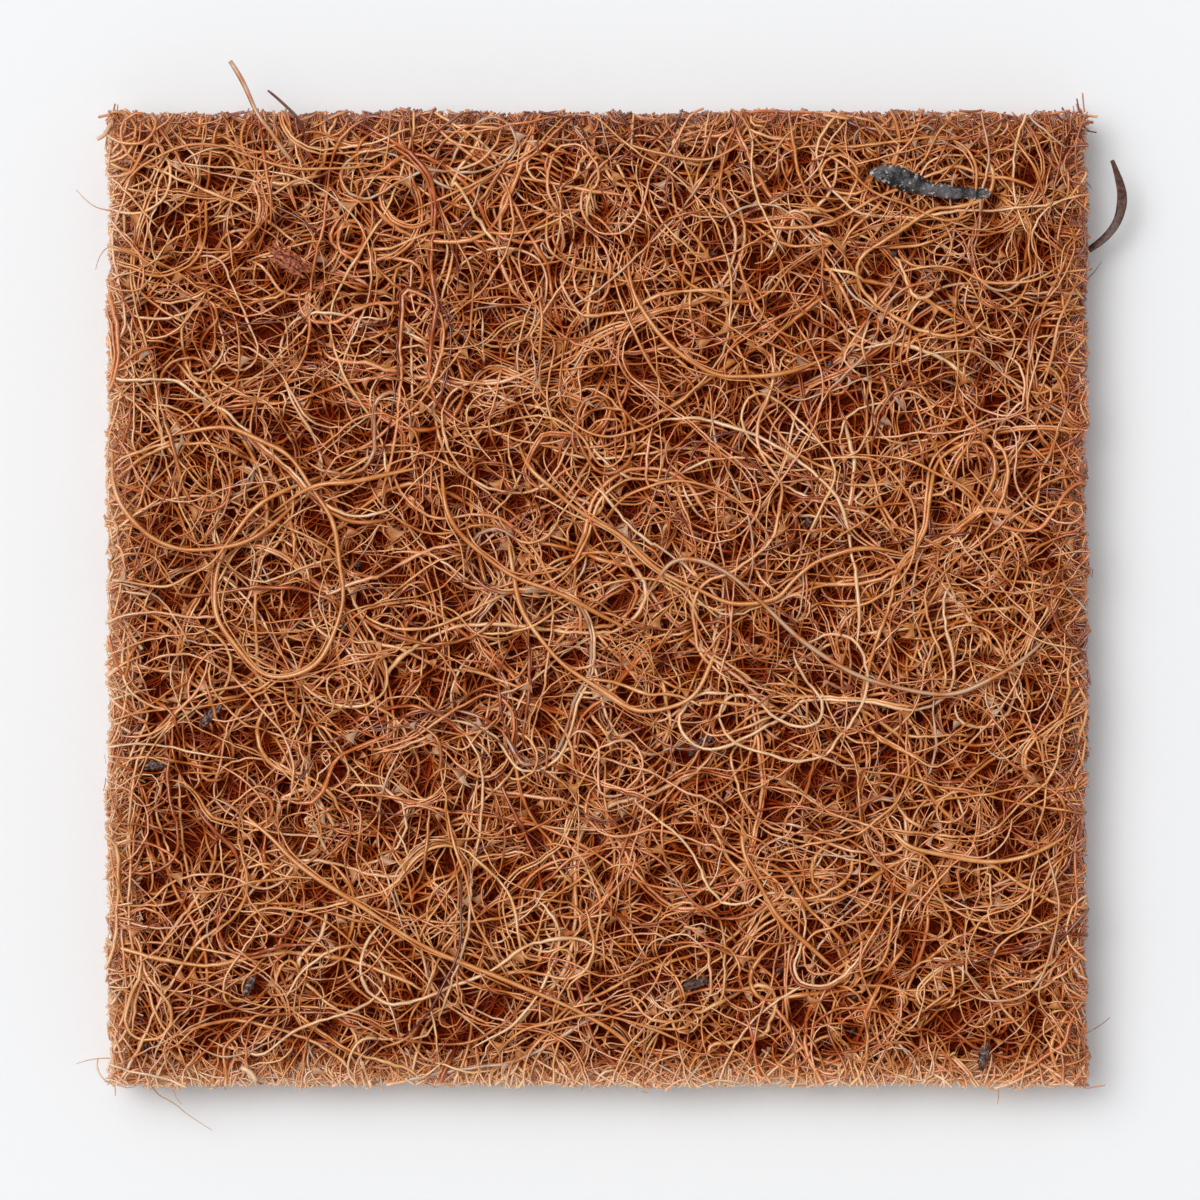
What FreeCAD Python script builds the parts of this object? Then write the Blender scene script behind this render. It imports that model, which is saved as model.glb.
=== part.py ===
import FreeCAD, Part
import math
import os
import Sketcher
from FreeCAD import Vector

# A square pad of curled coir fibre bonded with latex, in millimetres.
# The origin is at the middle of the underside, +Z is up through the pad.
# Three pressed plies carry the load. The coarse and fine fibres that curl over the top
# face are round rods, each in one level plane, and lie across each other in three lays.

SIZES = {
    "pad_length": 100.0,         # along X
    "pad_width": 99.5,           # along Y
    "pad_corner_radius": 1.5,
    "base_ply_thick": 2.7,
    "core_ply_thick": 2.8,
    "face_ply_thick": 2.6,
    "coarse_fibre_width": 0.56,
    "fine_fibre_width": 0.34,
    "hair_width": 0.20,
    "lay_gap": 0.05,             # clear height between one lay of fibres and the next
    "bark_length": 12.6,
    "bark_width": 2.9,
    "bark_thick": 1.1,
    "bark_edge_share": 0.3,      # rounding of the sliver's top rim, as a share of its thickness
    "strip_width": 1.0,
    "strip_thick": 0.25,
    "chip_length": 3.6,
    "chip_width": 1.6,
    "chip_thick": 0.3,
    "chip_corner_radius": 0.5,
    "film_span": 1.7,            # from corner to corner of a latex web
    "film_thick": 0.12,
    "speck_length": 2.0,
    "speck_width": 1.1,
    "speck_height": 0.7,
}

# Heights that several pieces share, as expressions on the sheet.
CORE_FLOOR = "sizes.base_ply_thick"
FACE_FLOOR = "sizes.base_ply_thick + sizes.core_ply_thick"
FACE_TOP = "sizes.base_ply_thick + sizes.core_ply_thick + sizes.face_ply_thick"
LAY_STEP = "(sizes.coarse_fibre_width + sizes.lay_gap)"

# A tangent arc at a point of a route takes this share of the shorter run beside the point.
ARC_SHARE = 0.45

COARSE = "coarse_fibre_width"
FINE = "fine_fibre_width"

# Fibres on the top face: which lay, which width, and the points of the route.
# A point is a share of the pad in percent, measured from its middle: (50, 0) is the middle
# of the right edge, whatever the pad's size.
FACE_FIBRES = {
    "ring_fibre": (0, COARSE, [
        (-45.5, 16.5), (-41, 17.5), (-36.5, 17.5), (-32.5, 15.5), (-29.5, 12.5),
        (-27, 8), (-26, 3.5), (-26, -1.5), (-28, -6.5), (-32, -8.5),
        (-36, -6.5), (-38.5, -2.5), (-39, 1.5), (-37, 6)]),
    "ring_lead_fibre": (2, COARSE, [
        (-33, 9), (-29, 12), (-23.5, 12), (-18, 13.5)]),
    "left_bowl_fibre": (1, COARSE, [
        (-49.5, 15), (-49.5, 11.5), (-47, 7), (-42.5, 5), (-37.5, 5), (-33, 7.5), (-30, 10.5)]),
    "left_low_fibre": (2, FINE, [
        (-49.5, 2), (-45.5, 1), (-41.5, 2), (-38.5, 4.5), (-36, 8)]),
    "centre_diagonal_fibre": (0, COARSE, [
        (-8, 16), (-7, 13.5), (-4, 10.5), (1, 7.5), (5, 4), (9.5, 1), (14, -0.5),
        (18, -0.5), (20.5, 2.5), (23.5, 4.5), (27.5, 5.5), (31.5, 4.5)]),
    "centre_bowl_fibre": (0, COARSE, [
        (-9, 8), (-9, 4), (-8, -0.5), (-5.5, -5), (-1, -8.5), (3.5, -11.5), (8, -11.5),
        (11.5, -8), (13, -3)]),
    "centre_arch_fibre": (1, FINE, [
        (0.5, 7.5), (2.5, 10.5), (6, 12), (10.5, 12), (14.5, 10.5), (17.5, 6.5)]),
    "upper_bowl_fibre": (0, FINE, [
        (-4.5, 20.5), (-2.5, 17.5), (1.5, 16.5), (5.5, 17.5), (8.5, 20)]),
    "long_grey_fibre": (1, COARSE, [
        (4.5, -0.5), (6.5, 3), (9.5, 4.5), (13, 3), (17, -0.5), (22, -5.5), (28, -8.5),
        (34, -10), (39.5, -9), (43.5, -6), (47, -3)]),
    "left_hook_fibre": (1, COARSE, [
        (-16, 14.5), (-16, 10.5), (-14, 6.5), (-10, 3), (-5, 1), (0.5, -1.5), (4, -3.5)]),
    "right_ring_fibre": (0, FINE, [
        (20.5, 14), (25, 15), (29.5, 14), (32, 10.5), (33, 6), (30.5, 1), (26.5, -1), (22, -0.5)]),
    "right_bundle_fibre": (1, FINE, [
        (26, 15), (31, 14.5), (36, 12.5), (39.5, 9.5), (42.5, 5.5)]),
    "right_hem_fibre": (0, FINE, [
        (43.5, 11), (45, 9), (48, 9.5), (50, 10.5)]),
    "crown_fibre": (0, FINE, [
        (-49.5, 39.5), (-48, 44), (-43.5, 46), (-39, 47), (-35, 45), (-30, 44), (-24.5, 44),
        (-20, 45.5)]),
    "crown_dark_fibre": (0, FINE, [
        (-35.5, 42), (-31.5, 39.5), (-28, 37.5), (-25, 34.5)]),
    "twin_fibre_left": (1, FINE, [
        (1.5, 34.5), (2.5, 30), (4.5, 25.5), (7.5, 21)]),
    "twin_fibre_right": (1, COARSE, [
        (3, 35.5), (3.5, 31.5), (5.5, 28), (9.5, 24), (14, 22.5), (19, 23), (24, 25)]),
    "upper_hook_fibre": (0, FINE, [
        (-5, 41), (-5.5, 37), (-3.5, 34), (0, 34), (3.5, 32.5)]),
    "top_wave_fibre": (0, FINE, [
        (0.5, 48), (4.5, 46), (9.5, 45), (14, 45.5), (17.5, 49)]),
    "top_rake_fibre": (0, FINE, [
        (-17.5, 45.5), (-13, 43.5), (-8.5, 40.5)]),
    "upper_drop_fibre": (0, FINE, [
        (-6.5, 34.5), (-5.5, 30.5), (-6, 26), (-5.5, 21)]),
    "under_bark_fibre": (0, FINE, [
        (21, 47), (24.5, 45), (28.5, 41.5), (33.5, 39.5), (37, 38.5), (39, 40)]),
    "right_arch_fibre": (0, FINE, [
        (29, 33), (33, 34.5), (37.5, 33.5), (41.5, 32), (46, 33), (49.5, 36)]),
    "right_edge_fibre": (1, FINE, [
        (49.5, 34), (47.5, 30), (46.5, 25.5), (45, 20.5)]),
    "corner_drop_fibre": (0, FINE, [
        (41, 49.5), (43.5, 46.5), (45.5, 42), (47, 37.5)]),
    "low_left_diagonal_fibre": (0, COARSE, [
        (-38.5, -20.5), (-34, -23.5), (-30.5, -27.5), (-25.5, -30.5), (-20.5, -34), (-15, -37),
        (-8, -39.5), (-1.5, -42.5), (3, -45), (5, -48)]),
    "low_left_arch_fibre": (1, FINE, [
        (-42.5, -30), (-38, -30), (-33.5, -28.5), (-30, -28.5)]),
    "low_left_straw_fibre": (0, FINE, [
        (-50, -35.5), (-45, -35), (-40.5, -36)]),
    "low_left_loop_fibre": (0, FINE, [
        (-38, -35.5), (-35.5, -32), (-31, -31.5), (-26.5, -33.5), (-23.5, -37)]),
    "low_drop_fibre": (1, FINE, [
        (-15.5, -20.5), (-14.5, -25.5), (-13, -30), (-12, -34.5), (-9, -39)]),
    "low_dark_fibre": (2, FINE, [
        (-14, -27.5), (-13.5, -32.5), (-14.5, -37.5), (-17, -42.5), (-20, -45)]),
    "low_arch_fibre": (1, FINE, [
        (-11, -47.5), (-8.5, -44.5), (-4, -43), (1, -42.5), (6, -44), (10.5, -46.5)]),
    "low_right_long_fibre": (0, COARSE, [
        (15, -20.5), (14.5, -25.5), (17, -30.5), (21, -35.5), (26, -39.5)]),
    "low_right_bowl_fibre": (0, COARSE, [
        (29, -20.5), (30, -24.5), (35, -26.5), (41, -27), (46, -26), (49.5, -23)]),
    "low_right_grey_fibre": (1, FINE, [
        (45.5, -24.5), (47, -29.5), (47, -35), (44, -41), (39.5, -41.5), (37, -40)]),
    "low_right_rake_fibre": (1, FINE, [
        (35.5, -26.5), (31.5, -30), (27.5, -34.5), (26.5, -39), (29, -42.5)]),
    "low_right_tail_fibre": (0, FINE, [
        (38.5, -39), (34, -41), (30, -45.5)]),
    "stray_top_fibre": (1, COARSE, [
        (-31, 45), (-33.5, 47.5), (-35, 51), (-37.5, 55)]),
    "stray_dark_fibre": (1, FINE, [
        (-29.5, 46.5), (-30, 48.5), (-31.5, 50.5), (-33.5, 52)]),
    "stray_corner_fibre": (0, COARSE, [
        (-49, 49.5), (-50, 48), (-51, 47)]),
}

# Thin hairs that stand out of the cut sides. Each leaves its side square, from the middle
# of the ply named by the expression of that ply's floor and thickness.
BASE_MIDDLE = "sizes.base_ply_thick / 2"
CORE_MIDDLE = CORE_FLOOR + " + sizes.core_ply_thick / 2"
FACE_MIDDLE = FACE_FLOOR + " + sizes.face_ply_thick / 2"
EDGE_HAIRS = [
    (FACE_MIDDLE, [(-50, 40), (-51.5, 40), (-53.5, 42)]),
    (CORE_MIDDLE, [(-50, 36.5), (-51, 36.5), (-51.5, 34)]),
    (CORE_MIDDLE, [(-50, -47.5), (-51.5, -47.5), (-53.5, -48)]),
    (CORE_MIDDLE, [(-46, -50), (-46, -51), (-43.5, -52), (-42, -53.5), (-39.5, -55)]),
    (FACE_MIDDLE, [(-43.5, -50), (-43.5, -51), (-42.5, -52)]),
    (FACE_MIDDLE, [(41, -50), (41, -52)]),
    (FACE_MIDDLE, [(50, -44.5), (51, -44.5), (52.5, -43)]),
    (BASE_MIDDLE, [(50, 33), (51, 33), (52, 35)]),
    (BASE_MIDDLE, [(-1.5, -50), (-1.5, -51)]),
    (BASE_MIDDLE, [(50, 43.5), (50.5, 43.5), (51, 42.5)]),
]

# The flat husk strip leaves the right side square and curls upwards along the edge.
HUSK_STRIP_ROUTE = [(50, 36), (52, 36), (54, 38.5), (54, 41), (53, 44.5)]

# A latex web has three tips, and is drawn in between them to this share of their reach.
WEB_WAIST_SHARE = 0.3

# Latex webs on the top face: place in percent, and turn in degrees.
LATEX_FILMS = [
    (-8.5, 38, 20), (-14, 37, 75), (-44, 36, 40), (-22, 31.5, 10), (42.5, 38.5, 60),
    (26.5, 35, 0), (36, 30.5, 85), (-43, -27, 30), (2, -39.5, 5), (-9.5, -23, 50),
    (39, 13, 65), (40.5, -13, 15), (41, -31, 35), (-20, 5, 55), (22, 27, 25),
]

# Pith specks on the top face: place in percent, and turn in degrees.
PITH_SPECKS = [
    (-45, -17, 10), (-35.5, -39.5, 70), (10.5, -15, 35), (10, -39.5, 15),
    (39.5, -47, 80), (-39.5, -12, 45),
]

HUSK_CHIP_PLACE = (-31.5, 34.5, -35)
BARK_PLACE = (34, 42.5, -8)

# Outline of the bark sliver as shares of its length and width, from the blunt end round
# the lower side to the tail and back over the upper side. Every second point is the
# middle of an arc.
BARK_OUTLINE = [
    (-0.5, 0.1), (-0.49, -0.3), (-0.38, -0.42),
    (-0.1, -0.5), (0.15, -0.3),
    (0.36, -0.14), (0.49, -0.12),
    (0.5, 0), (0.49, 0.12),
    (0.3, 0.2), (0.08, 0.36),
    (-0.2, 0.5), (-0.36, 0.42),
    (-0.46, 0.32), (-0.5, 0.1),
]


def make_sheet(doc):
    """Put every driving size in the sheet under its alias."""
    sheet = doc.addObject("Spreadsheet::Sheet", "sizes")
    for row, (alias, value) in enumerate(SIZES.items(), start=1):
        sheet.set("A%d" % row, alias)
        sheet.set("B%d" % row, str(value))
        sheet.setAlias("B%d" % row, alias)
    doc.recompute()
    return sheet


def place_on_pad(sheet, share):
    """Turn a place in percent of the pad into millimetres."""
    return Vector(share[0] / 100 * sheet.pad_length, share[1] / 100 * sheet.pad_width, 0)


def flat_sketch(body, name, height):
    """Add a sketch on the body's own level plane, at a height given as an expression."""
    level_plane = next(f for f in body.Origin.OriginFeatures if f.Role == "XY_Plane")
    sketch = body.newObject("Sketcher::SketchObject", name)
    sketch.AttachmentSupport = [(level_plane, "")]
    sketch.MapMode = "FlatFace"
    sketch.setExpression("AttachmentOffset.Base.z", height)
    return sketch


def centred_rectangle(sketch, length, width):
    """Draw a rectangle about the sketch's origin, sized by two expressions."""
    corners = [Vector(-1, -1, 0), Vector(1, -1, 0), Vector(1, 1, 0), Vector(-1, 1, 0)]
    for start, end in zip(corners, corners[1:] + corners[:1]):
        sketch.addGeometry(Part.LineSegment(start, end), False)
    for side in range(4):
        sketch.addConstraint(Sketcher.Constraint("Coincident", side, 2, (side + 1) % 4, 1))
    for side, direction in enumerate(["Horizontal", "Vertical", "Horizontal", "Vertical"]):
        sketch.addConstraint(Sketcher.Constraint(direction, side))
    sketch.addConstraint(Sketcher.Constraint("Symmetric", 0, 1, 1, 2, -1, 1))
    for side, size, expression in ((0, "DistanceX", length), (1, "DistanceY", width)):
        index = sketch.addConstraint(Sketcher.Constraint(size, side, 1, side, 2, 2.0))
        sketch.setExpression("Constraints[%d]" % index, expression)


def tangent_route(points):
    """Return straight runs joined by tangent arcs through the corners at the points."""
    edges = []
    start = points[0]
    for before, corner, after in zip(points, points[1:], points[2:]):
        run_in = corner - before
        run_out = after - corner
        reach = ARC_SHARE * min(run_in.Length, run_out.Length)
        run_in.normalize()
        run_out.normalize()
        half_turn = run_in.getAngle(run_out) / 2
        radius = reach / math.tan(half_turn)
        inward = (run_out - run_in).normalize()
        arc_start = corner - run_in * reach
        arc_middle = corner + inward * (radius / math.cos(half_turn) - radius)
        arc_end = corner + run_out * reach
        edges.append(Part.LineSegment(start, arc_start))
        edges.append(Part.Arc(arc_start, arc_middle, arc_end))
        start = arc_end
    edges.append(Part.LineSegment(start, points[-1]))
    return edges


def make_swept(doc, sheet, name, route, height, draw_section):
    """Sweep a section along a level route, as one body."""
    body = doc.addObject("PartDesign::Body", name)
    path = flat_sketch(body, name + "_path", height)
    edges = tangent_route([place_on_pad(sheet, share) for share in route])
    path.addGeometry(edges, False)
    doc.recompute()
    section = body.newObject("Sketcher::SketchObject", name + "_section")
    section.AttachmentSupport = [(path, "Edge1")]
    section.MapMode = "NormalToEdge"
    draw_section(section)
    pipe = body.newObject("PartDesign::AdditivePipe", name + "_sweep")
    pipe.Profile = section
    pipe.Spine = (path, ["Edge%d" % number for number in range(1, len(edges) + 1)])
    return body


def make_rod(doc, sheet, name, route, height, width):
    """Make a round fibre along a level route; width is an alias of the sheet."""
    def round_section(section):
        ring = section.addGeometry(Part.Circle(Vector(), Vector(0, 0, 1), SIZES[width] / 2), False)
        section.addConstraint(Sketcher.Constraint("Coincident", ring, 3, -1, 1))
        size = section.addConstraint(Sketcher.Constraint("Diameter", ring, SIZES[width]))
        section.setExpression("Constraints[%d]" % size, "sizes." + width)

    return make_swept(doc, sheet, name, route, height, round_section)


def make_ply(doc, name, thickness, floor):
    """Make one pressed ply of the pad, with rounded upright corners."""
    body = doc.addObject("PartDesign::Body", name)
    outline = flat_sketch(body, name + "_outline", floor)
    centred_rectangle(outline, "sizes.pad_length", "sizes.pad_width")
    slab = body.newObject("PartDesign::Pad", name + "_slab")
    slab.Profile = outline
    slab.setExpression("Length", thickness)
    doc.recompute()
    round_uprights(body, slab, name, "sizes.pad_corner_radius")
    return body


def round_uprights(body, slab, name, radius):
    """Round the four upright edges of a rectangular slab."""
    upright = []
    for number, edge in enumerate(slab.Shape.Edges, start=1):
        if abs(edge.tangentAt(edge.FirstParameter).z) > 0.9:
            upright.append("Edge%d" % number)
    corners = body.newObject("PartDesign::Fillet", name + "_corners")
    corners.Base = (slab, upright)
    corners.setExpression("Radius", radius)


def set_down(sheet, body, place):
    """Move a body that was drawn about the origin to its place and turn on the pad."""
    spot = place_on_pad(sheet, place)
    body.Placement = FreeCAD.Placement(spot, FreeCAD.Rotation(Vector(0, 0, 1), place[2]))


def make_face_fibres(doc, sheet):
    """Make every fibre that curls over the top face."""
    fibres = []
    for name, (lay, width, route) in FACE_FIBRES.items():
        height = "%s + sizes.coarse_fibre_width / 2 + %d * %s" % (FACE_TOP, lay, LAY_STEP)
        fibres.append(make_rod(doc, sheet, name, route, height, width))
    return fibres


def make_edge_hairs(doc, sheet):
    """Make the thin hairs of the cut sides, as one group."""
    hairs = []
    for number, (height, route) in enumerate(EDGE_HAIRS, start=1):
        hairs.append(make_rod(doc, sheet, "hair_%d" % number, route, height, "hair_width"))
    return group(doc, "edge_hairs", hairs)


def make_husk_strip(doc, sheet):
    """Make the flat strip of husk that curls out of the right side."""
    def flat_section(section):
        centred_rectangle(section, "sizes.strip_width", "sizes.strip_thick")

    return make_swept(doc, sheet, "husk_strip", HUSK_STRIP_ROUTE, CORE_MIDDLE, flat_section)


def make_husk_chip(doc, sheet):
    """Make the small flat chip of husk that lies on the top face."""
    body = doc.addObject("PartDesign::Body", "husk_chip")
    outline = flat_sketch(body, "chip_outline", FACE_TOP)
    centred_rectangle(outline, "sizes.chip_length", "sizes.chip_width")
    slab = body.newObject("PartDesign::Pad", "chip_slab")
    slab.Profile = outline
    slab.setExpression("Length", "sizes.chip_thick")
    doc.recompute()
    round_uprights(body, slab, "chip", "sizes.chip_corner_radius")
    set_down(sheet, body, HUSK_CHIP_PLACE)
    return body


def make_bark_sliver(doc, sheet):
    """Make the leaf-shaped sliver of bark that lies over the first lay of fibres."""
    body = doc.addObject("PartDesign::Body", "bark_sliver")
    outline = flat_sketch(body, "bark_outline", "%s + %s" % (FACE_TOP, LAY_STEP))
    rim = [Vector(x * sheet.bark_length, y * sheet.bark_width, 0) for x, y in BARK_OUTLINE]
    for start, middle, end in zip(rim[::2], rim[1::2], rim[2::2]):
        outline.addGeometry(Part.Arc(start, middle, end), False)
    leaf = body.newObject("PartDesign::Pad", "bark_leaf")
    leaf.Profile = outline
    leaf.setExpression("Length", "sizes.bark_thick")
    doc.recompute()
    crown = leaf.Shape.BoundBox.ZMax
    top_edges = []
    for number, edge in enumerate(leaf.Shape.Edges, start=1):
        if edge.BoundBox.ZMin > crown - 1e-3:
            top_edges.append("Edge%d" % number)
    rounding = body.newObject("PartDesign::Fillet", "bark_rounding")
    rounding.Base = (leaf, top_edges)
    rounding.setExpression("Radius", "sizes.bark_thick * sizes.bark_edge_share")
    set_down(sheet, body, BARK_PLACE)
    return body


def make_latex_films(doc, sheet):
    """Make the webs of dried latex on the top face, as one group."""
    films = []
    tip_reach = sheet.film_span / math.sqrt(3)
    waist_reach = tip_reach * WEB_WAIST_SHARE
    for number, place in enumerate(LATEX_FILMS, start=1):
        body = doc.addObject("PartDesign::Body", "film_%d" % number)
        outline = flat_sketch(body, "film_outline_%d" % number, FACE_TOP)
        rim = []
        for turn in (0, 120, 240):
            rim.append(FreeCAD.Rotation(Vector(0, 0, 1), turn).multVec(Vector(tip_reach, 0, 0)))
            rim.append(FreeCAD.Rotation(Vector(0, 0, 1), turn + 60).multVec(Vector(waist_reach, 0, 0)))
        for start, end in zip(rim, rim[1:] + rim[:1]):
            outline.addGeometry(Part.LineSegment(start, end), False)
        web = body.newObject("PartDesign::Pad", "film_web_%d" % number)
        web.Profile = outline
        web.setExpression("Length", "sizes.film_thick")
        set_down(sheet, body, place)
        films.append(body)
    return group(doc, "latex_films", films)


def make_pith_specks(doc, sheet):
    """Make the specks of pith that sit on the top face, as one group."""
    specks = []
    for number, place in enumerate(PITH_SPECKS, start=1):
        speck = doc.addObject("Part::Ellipsoid", "speck_%d" % number)
        speck.setExpression("Radius1", "sizes.speck_height / 2")
        speck.setExpression("Radius2", "sizes.speck_length / 2")
        speck.setExpression("Radius3", "sizes.speck_width / 2")
        set_down(sheet, speck, place)
        speck.setExpression("Placement.Base.z", FACE_TOP + " + sizes.speck_height / 2")
        specks.append(speck)
    return group(doc, "pith_specks", specks)


def group(doc, name, pieces):
    """Hold small pieces of one kind as separate solids of one node."""
    compound = doc.addObject("Part::Compound", name)
    compound.Links = pieces
    return compound


def check_and_write(doc, nodes):
    """Stop on any failed object or bad shape, then write one file for each node."""
    doc.recompute()
    for item in doc.Objects:
        if "Invalid" in item.State or "Error" in item.State:
            raise RuntimeError("%s failed: %s" % (item.Name, item.State))
    for node in nodes:
        if node.Shape.isNull() or not node.Shape.isValid() or not node.Shape.Solids:
            raise RuntimeError("%s has no valid solid" % node.Name)
    os.makedirs("parts", exist_ok=True)
    for node in nodes:
        node.Label = node.Name
        node.Shape.exportStep(os.path.join("parts", node.Label + ".step"))
    print("%d nodes written" % len(nodes))


def main():
    doc = FreeCAD.newDocument("coir_pad")
    sheet = make_sheet(doc)
    nodes = [
        make_ply(doc, "base_ply", "sizes.base_ply_thick", "0 mm"),
        make_ply(doc, "core_ply", "sizes.core_ply_thick", CORE_FLOOR),
        make_ply(doc, "face_ply", "sizes.face_ply_thick", FACE_FLOOR),
    ]
    nodes += make_face_fibres(doc, sheet)
    nodes += [
        make_bark_sliver(doc, sheet),
        make_husk_strip(doc, sheet),
        make_husk_chip(doc, sheet),
        make_edge_hairs(doc, sheet),
        make_latex_films(doc, sheet),
        make_pith_specks(doc, sheet),
    ]
    check_and_write(doc, nodes)


main()
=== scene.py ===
import logging
import math
from dataclasses import dataclass
from enum import Enum
from typing import Any, Callable, Optional, Sequence

import bpy
import numpy as np
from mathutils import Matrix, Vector
from mathutils.kdtree import KDTree


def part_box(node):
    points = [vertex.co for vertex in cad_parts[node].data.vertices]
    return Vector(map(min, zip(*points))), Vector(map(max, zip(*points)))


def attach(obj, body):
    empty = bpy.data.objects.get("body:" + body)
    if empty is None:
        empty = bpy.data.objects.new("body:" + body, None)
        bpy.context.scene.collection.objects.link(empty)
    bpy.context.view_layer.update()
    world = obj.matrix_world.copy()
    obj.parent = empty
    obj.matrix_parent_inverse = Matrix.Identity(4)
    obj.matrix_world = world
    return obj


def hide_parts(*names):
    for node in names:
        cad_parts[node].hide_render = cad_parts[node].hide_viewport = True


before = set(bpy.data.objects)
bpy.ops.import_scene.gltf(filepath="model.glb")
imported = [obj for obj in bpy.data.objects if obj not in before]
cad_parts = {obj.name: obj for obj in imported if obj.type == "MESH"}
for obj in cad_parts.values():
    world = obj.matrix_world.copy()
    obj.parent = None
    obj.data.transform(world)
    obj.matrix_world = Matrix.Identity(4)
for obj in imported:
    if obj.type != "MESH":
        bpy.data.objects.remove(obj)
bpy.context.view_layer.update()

MM = 0.001
BODY = "root"
log = logging.getLogger("coir_mat")


# --- Shader maths ---

class Value:
    """A shader socket that takes part in Python expressions."""

    def __init__(self, sheet: "ShaderSheet", socket: Any) -> None:
        """Wrap a socket of a sheet."""
        self.sheet = sheet
        self.socket = socket

    def _maths(self, operation: str, *operands: Any) -> "Value":
        """Add one Math node."""
        inputs = {index: operand for index, operand in enumerate(operands)}
        return self.sheet.node("ShaderNodeMath", {"operation": operation}, inputs)

    def __add__(self, other: Any) -> "Value":
        """Return self + other."""
        return self._maths("ADD", self, other)

    def __radd__(self, other: Any) -> "Value":
        """Return other + self."""
        return self._maths("ADD", other, self)

    def __sub__(self, other: Any) -> "Value":
        """Return self - other."""
        return self._maths("SUBTRACT", self, other)

    def __rsub__(self, other: Any) -> "Value":
        """Return other - self."""
        return self._maths("SUBTRACT", other, self)

    def __mul__(self, other: Any) -> "Value":
        """Return self * other."""
        return self._maths("MULTIPLY", self, other)

    def __rmul__(self, other: Any) -> "Value":
        """Return other * self."""
        return self._maths("MULTIPLY", other, self)

    def clamped(self) -> "Value":
        """Return self held between 0 and 1."""
        return self._maths("MINIMUM", self._maths("MAXIMUM", self, 0.0), 1.0)

    def rising(self, low: float, high: float) -> "Value":
        """Return a smooth step from 0 at low to 1 at high.

        Args:
            low: where the step starts.
            high: where the step ends.

        Returns:
            The step's value.
        """
        ranged = {"data_type": "FLOAT", "interpolation_type": "SMOOTHSTEP"}
        return self.sheet.node("ShaderNodeMapRange", ranged, {0: self, 1: low, 2: high})


class ShaderSheet:
    """The node tree of one material."""

    def __init__(self, name: str) -> None:
        """Start a material with an empty tree."""
        self.material = bpy.data.materials.new(name)
        self.material.use_nodes = True
        self.tree = self.material.node_tree
        self.tree.nodes.clear()

    def node(self, kind: str, settings: Optional[dict] = None,
             inputs: Optional[dict] = None, output: Any = 0) -> Value:
        """Add a node.

        Args:
            kind: the node's type.
            settings: properties set first; "stops" holds a ramp's stops.
            inputs: socket index or name to a number, colour or Value.
            output: index or name of the output that is wanted.

        Returns:
            That output.
        """
        made = self.tree.nodes.new(kind)
        for key, setting in (settings or {}).items():
            if key == "stops":
                self._set_stops(made.color_ramp, setting)
            else:
                setattr(made, key, setting)
        for key, given in (inputs or {}).items():
            if isinstance(given, Value):
                self.tree.links.new(given.socket, made.inputs[key])
            else:
                made.inputs[key].default_value = given
        return Value(self, made.outputs[output])

    @staticmethod
    def _set_stops(ramp: Any, stops: Sequence[tuple]) -> None:
        """Give a colour ramp its stops, as (place, colour) pairs."""
        while len(ramp.elements) < len(stops):
            ramp.elements.new(0.5)
        for element, (place, colour) in zip(ramp.elements, stops):
            element.position = place
            element.color = colour

    def attribute(self, name: str) -> Value:
        """Read a number that the mesh carries."""
        return self.node("ShaderNodeAttribute", {"attribute_name": name}, output="Fac")

    def places(self) -> Value:
        """Read Object coordinates, in metres."""
        return self.node("ShaderNodeTexCoord", output="Object")

    def noise(self, where: Value, size_mm: float, detail: float = 2.0) -> Value:
        """Add noise whose grain is about size_mm across."""
        inputs = {"Vector": where, "Scale": 1.0 / (size_mm * MM), "Detail": detail}
        return self.node("ShaderNodeTexNoise", None, inputs)

    def mix(self, share: Any, first: Any, second: Any, blend: str = "MIX") -> Value:
        """Mix two colours."""
        settings = {"data_type": "RGBA", "blend_type": blend}
        return self.node("ShaderNodeMix", settings, {0: share, 6: first, 7: second}, output=2)

    def ramp(self, share: Value, stops: Sequence[tuple]) -> Value:
        """Turn a share into a colour between stops, as (place, colour) pairs."""
        return self.node("ShaderNodeValToRGB", {"stops": stops}, {"Fac": share})

    def finish(self, colour: Any, roughness: Any, bump: Optional[Value] = None,
               bump_mm: float = 0.02, **fixed: float) -> bpy.types.Material:
        """Close the tree with a Principled shader.

        Args:
            colour: base colour.
            roughness: roughness.
            bump: height, from 0 to 1.
            bump_mm: how deep the height goes.
            fixed: plain values of other sockets, with _ for spaces.

        Returns:
            The material.
        """
        inputs = {"Base Color": colour, "Roughness": roughness}
        if bump is not None:
            relief = {"Height": bump, "Distance": bump_mm * MM, "Strength": 1.0}
            inputs["Normal"] = self.node("ShaderNodeBump", None, relief)
        for name, number in fixed.items():
            inputs[name.replace("_", " ")] = number
        shader = self.node("ShaderNodeBsdfPrincipled", None, inputs)
        self.node_output(shader)
        return self.material

    def node_output(self, shader: Value) -> None:
        """Link the shader to the material's surface."""
        out = self.tree.nodes.new("ShaderNodeOutputMaterial")
        self.tree.links.new(shader.socket, out.inputs["Surface"])


def rgb(*display: float) -> tuple:
    """Turn red, green and blue display values, 0 to 255, into linear colour and full alpha."""
    shares = (channel / 255 for channel in display)
    linear = (c / 12.92 if c < 0.04045 else ((c + 0.055) / 1.055) ** 2.4 for c in shares)
    return (*linear, 1.0)


# --- Finishes ---

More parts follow.
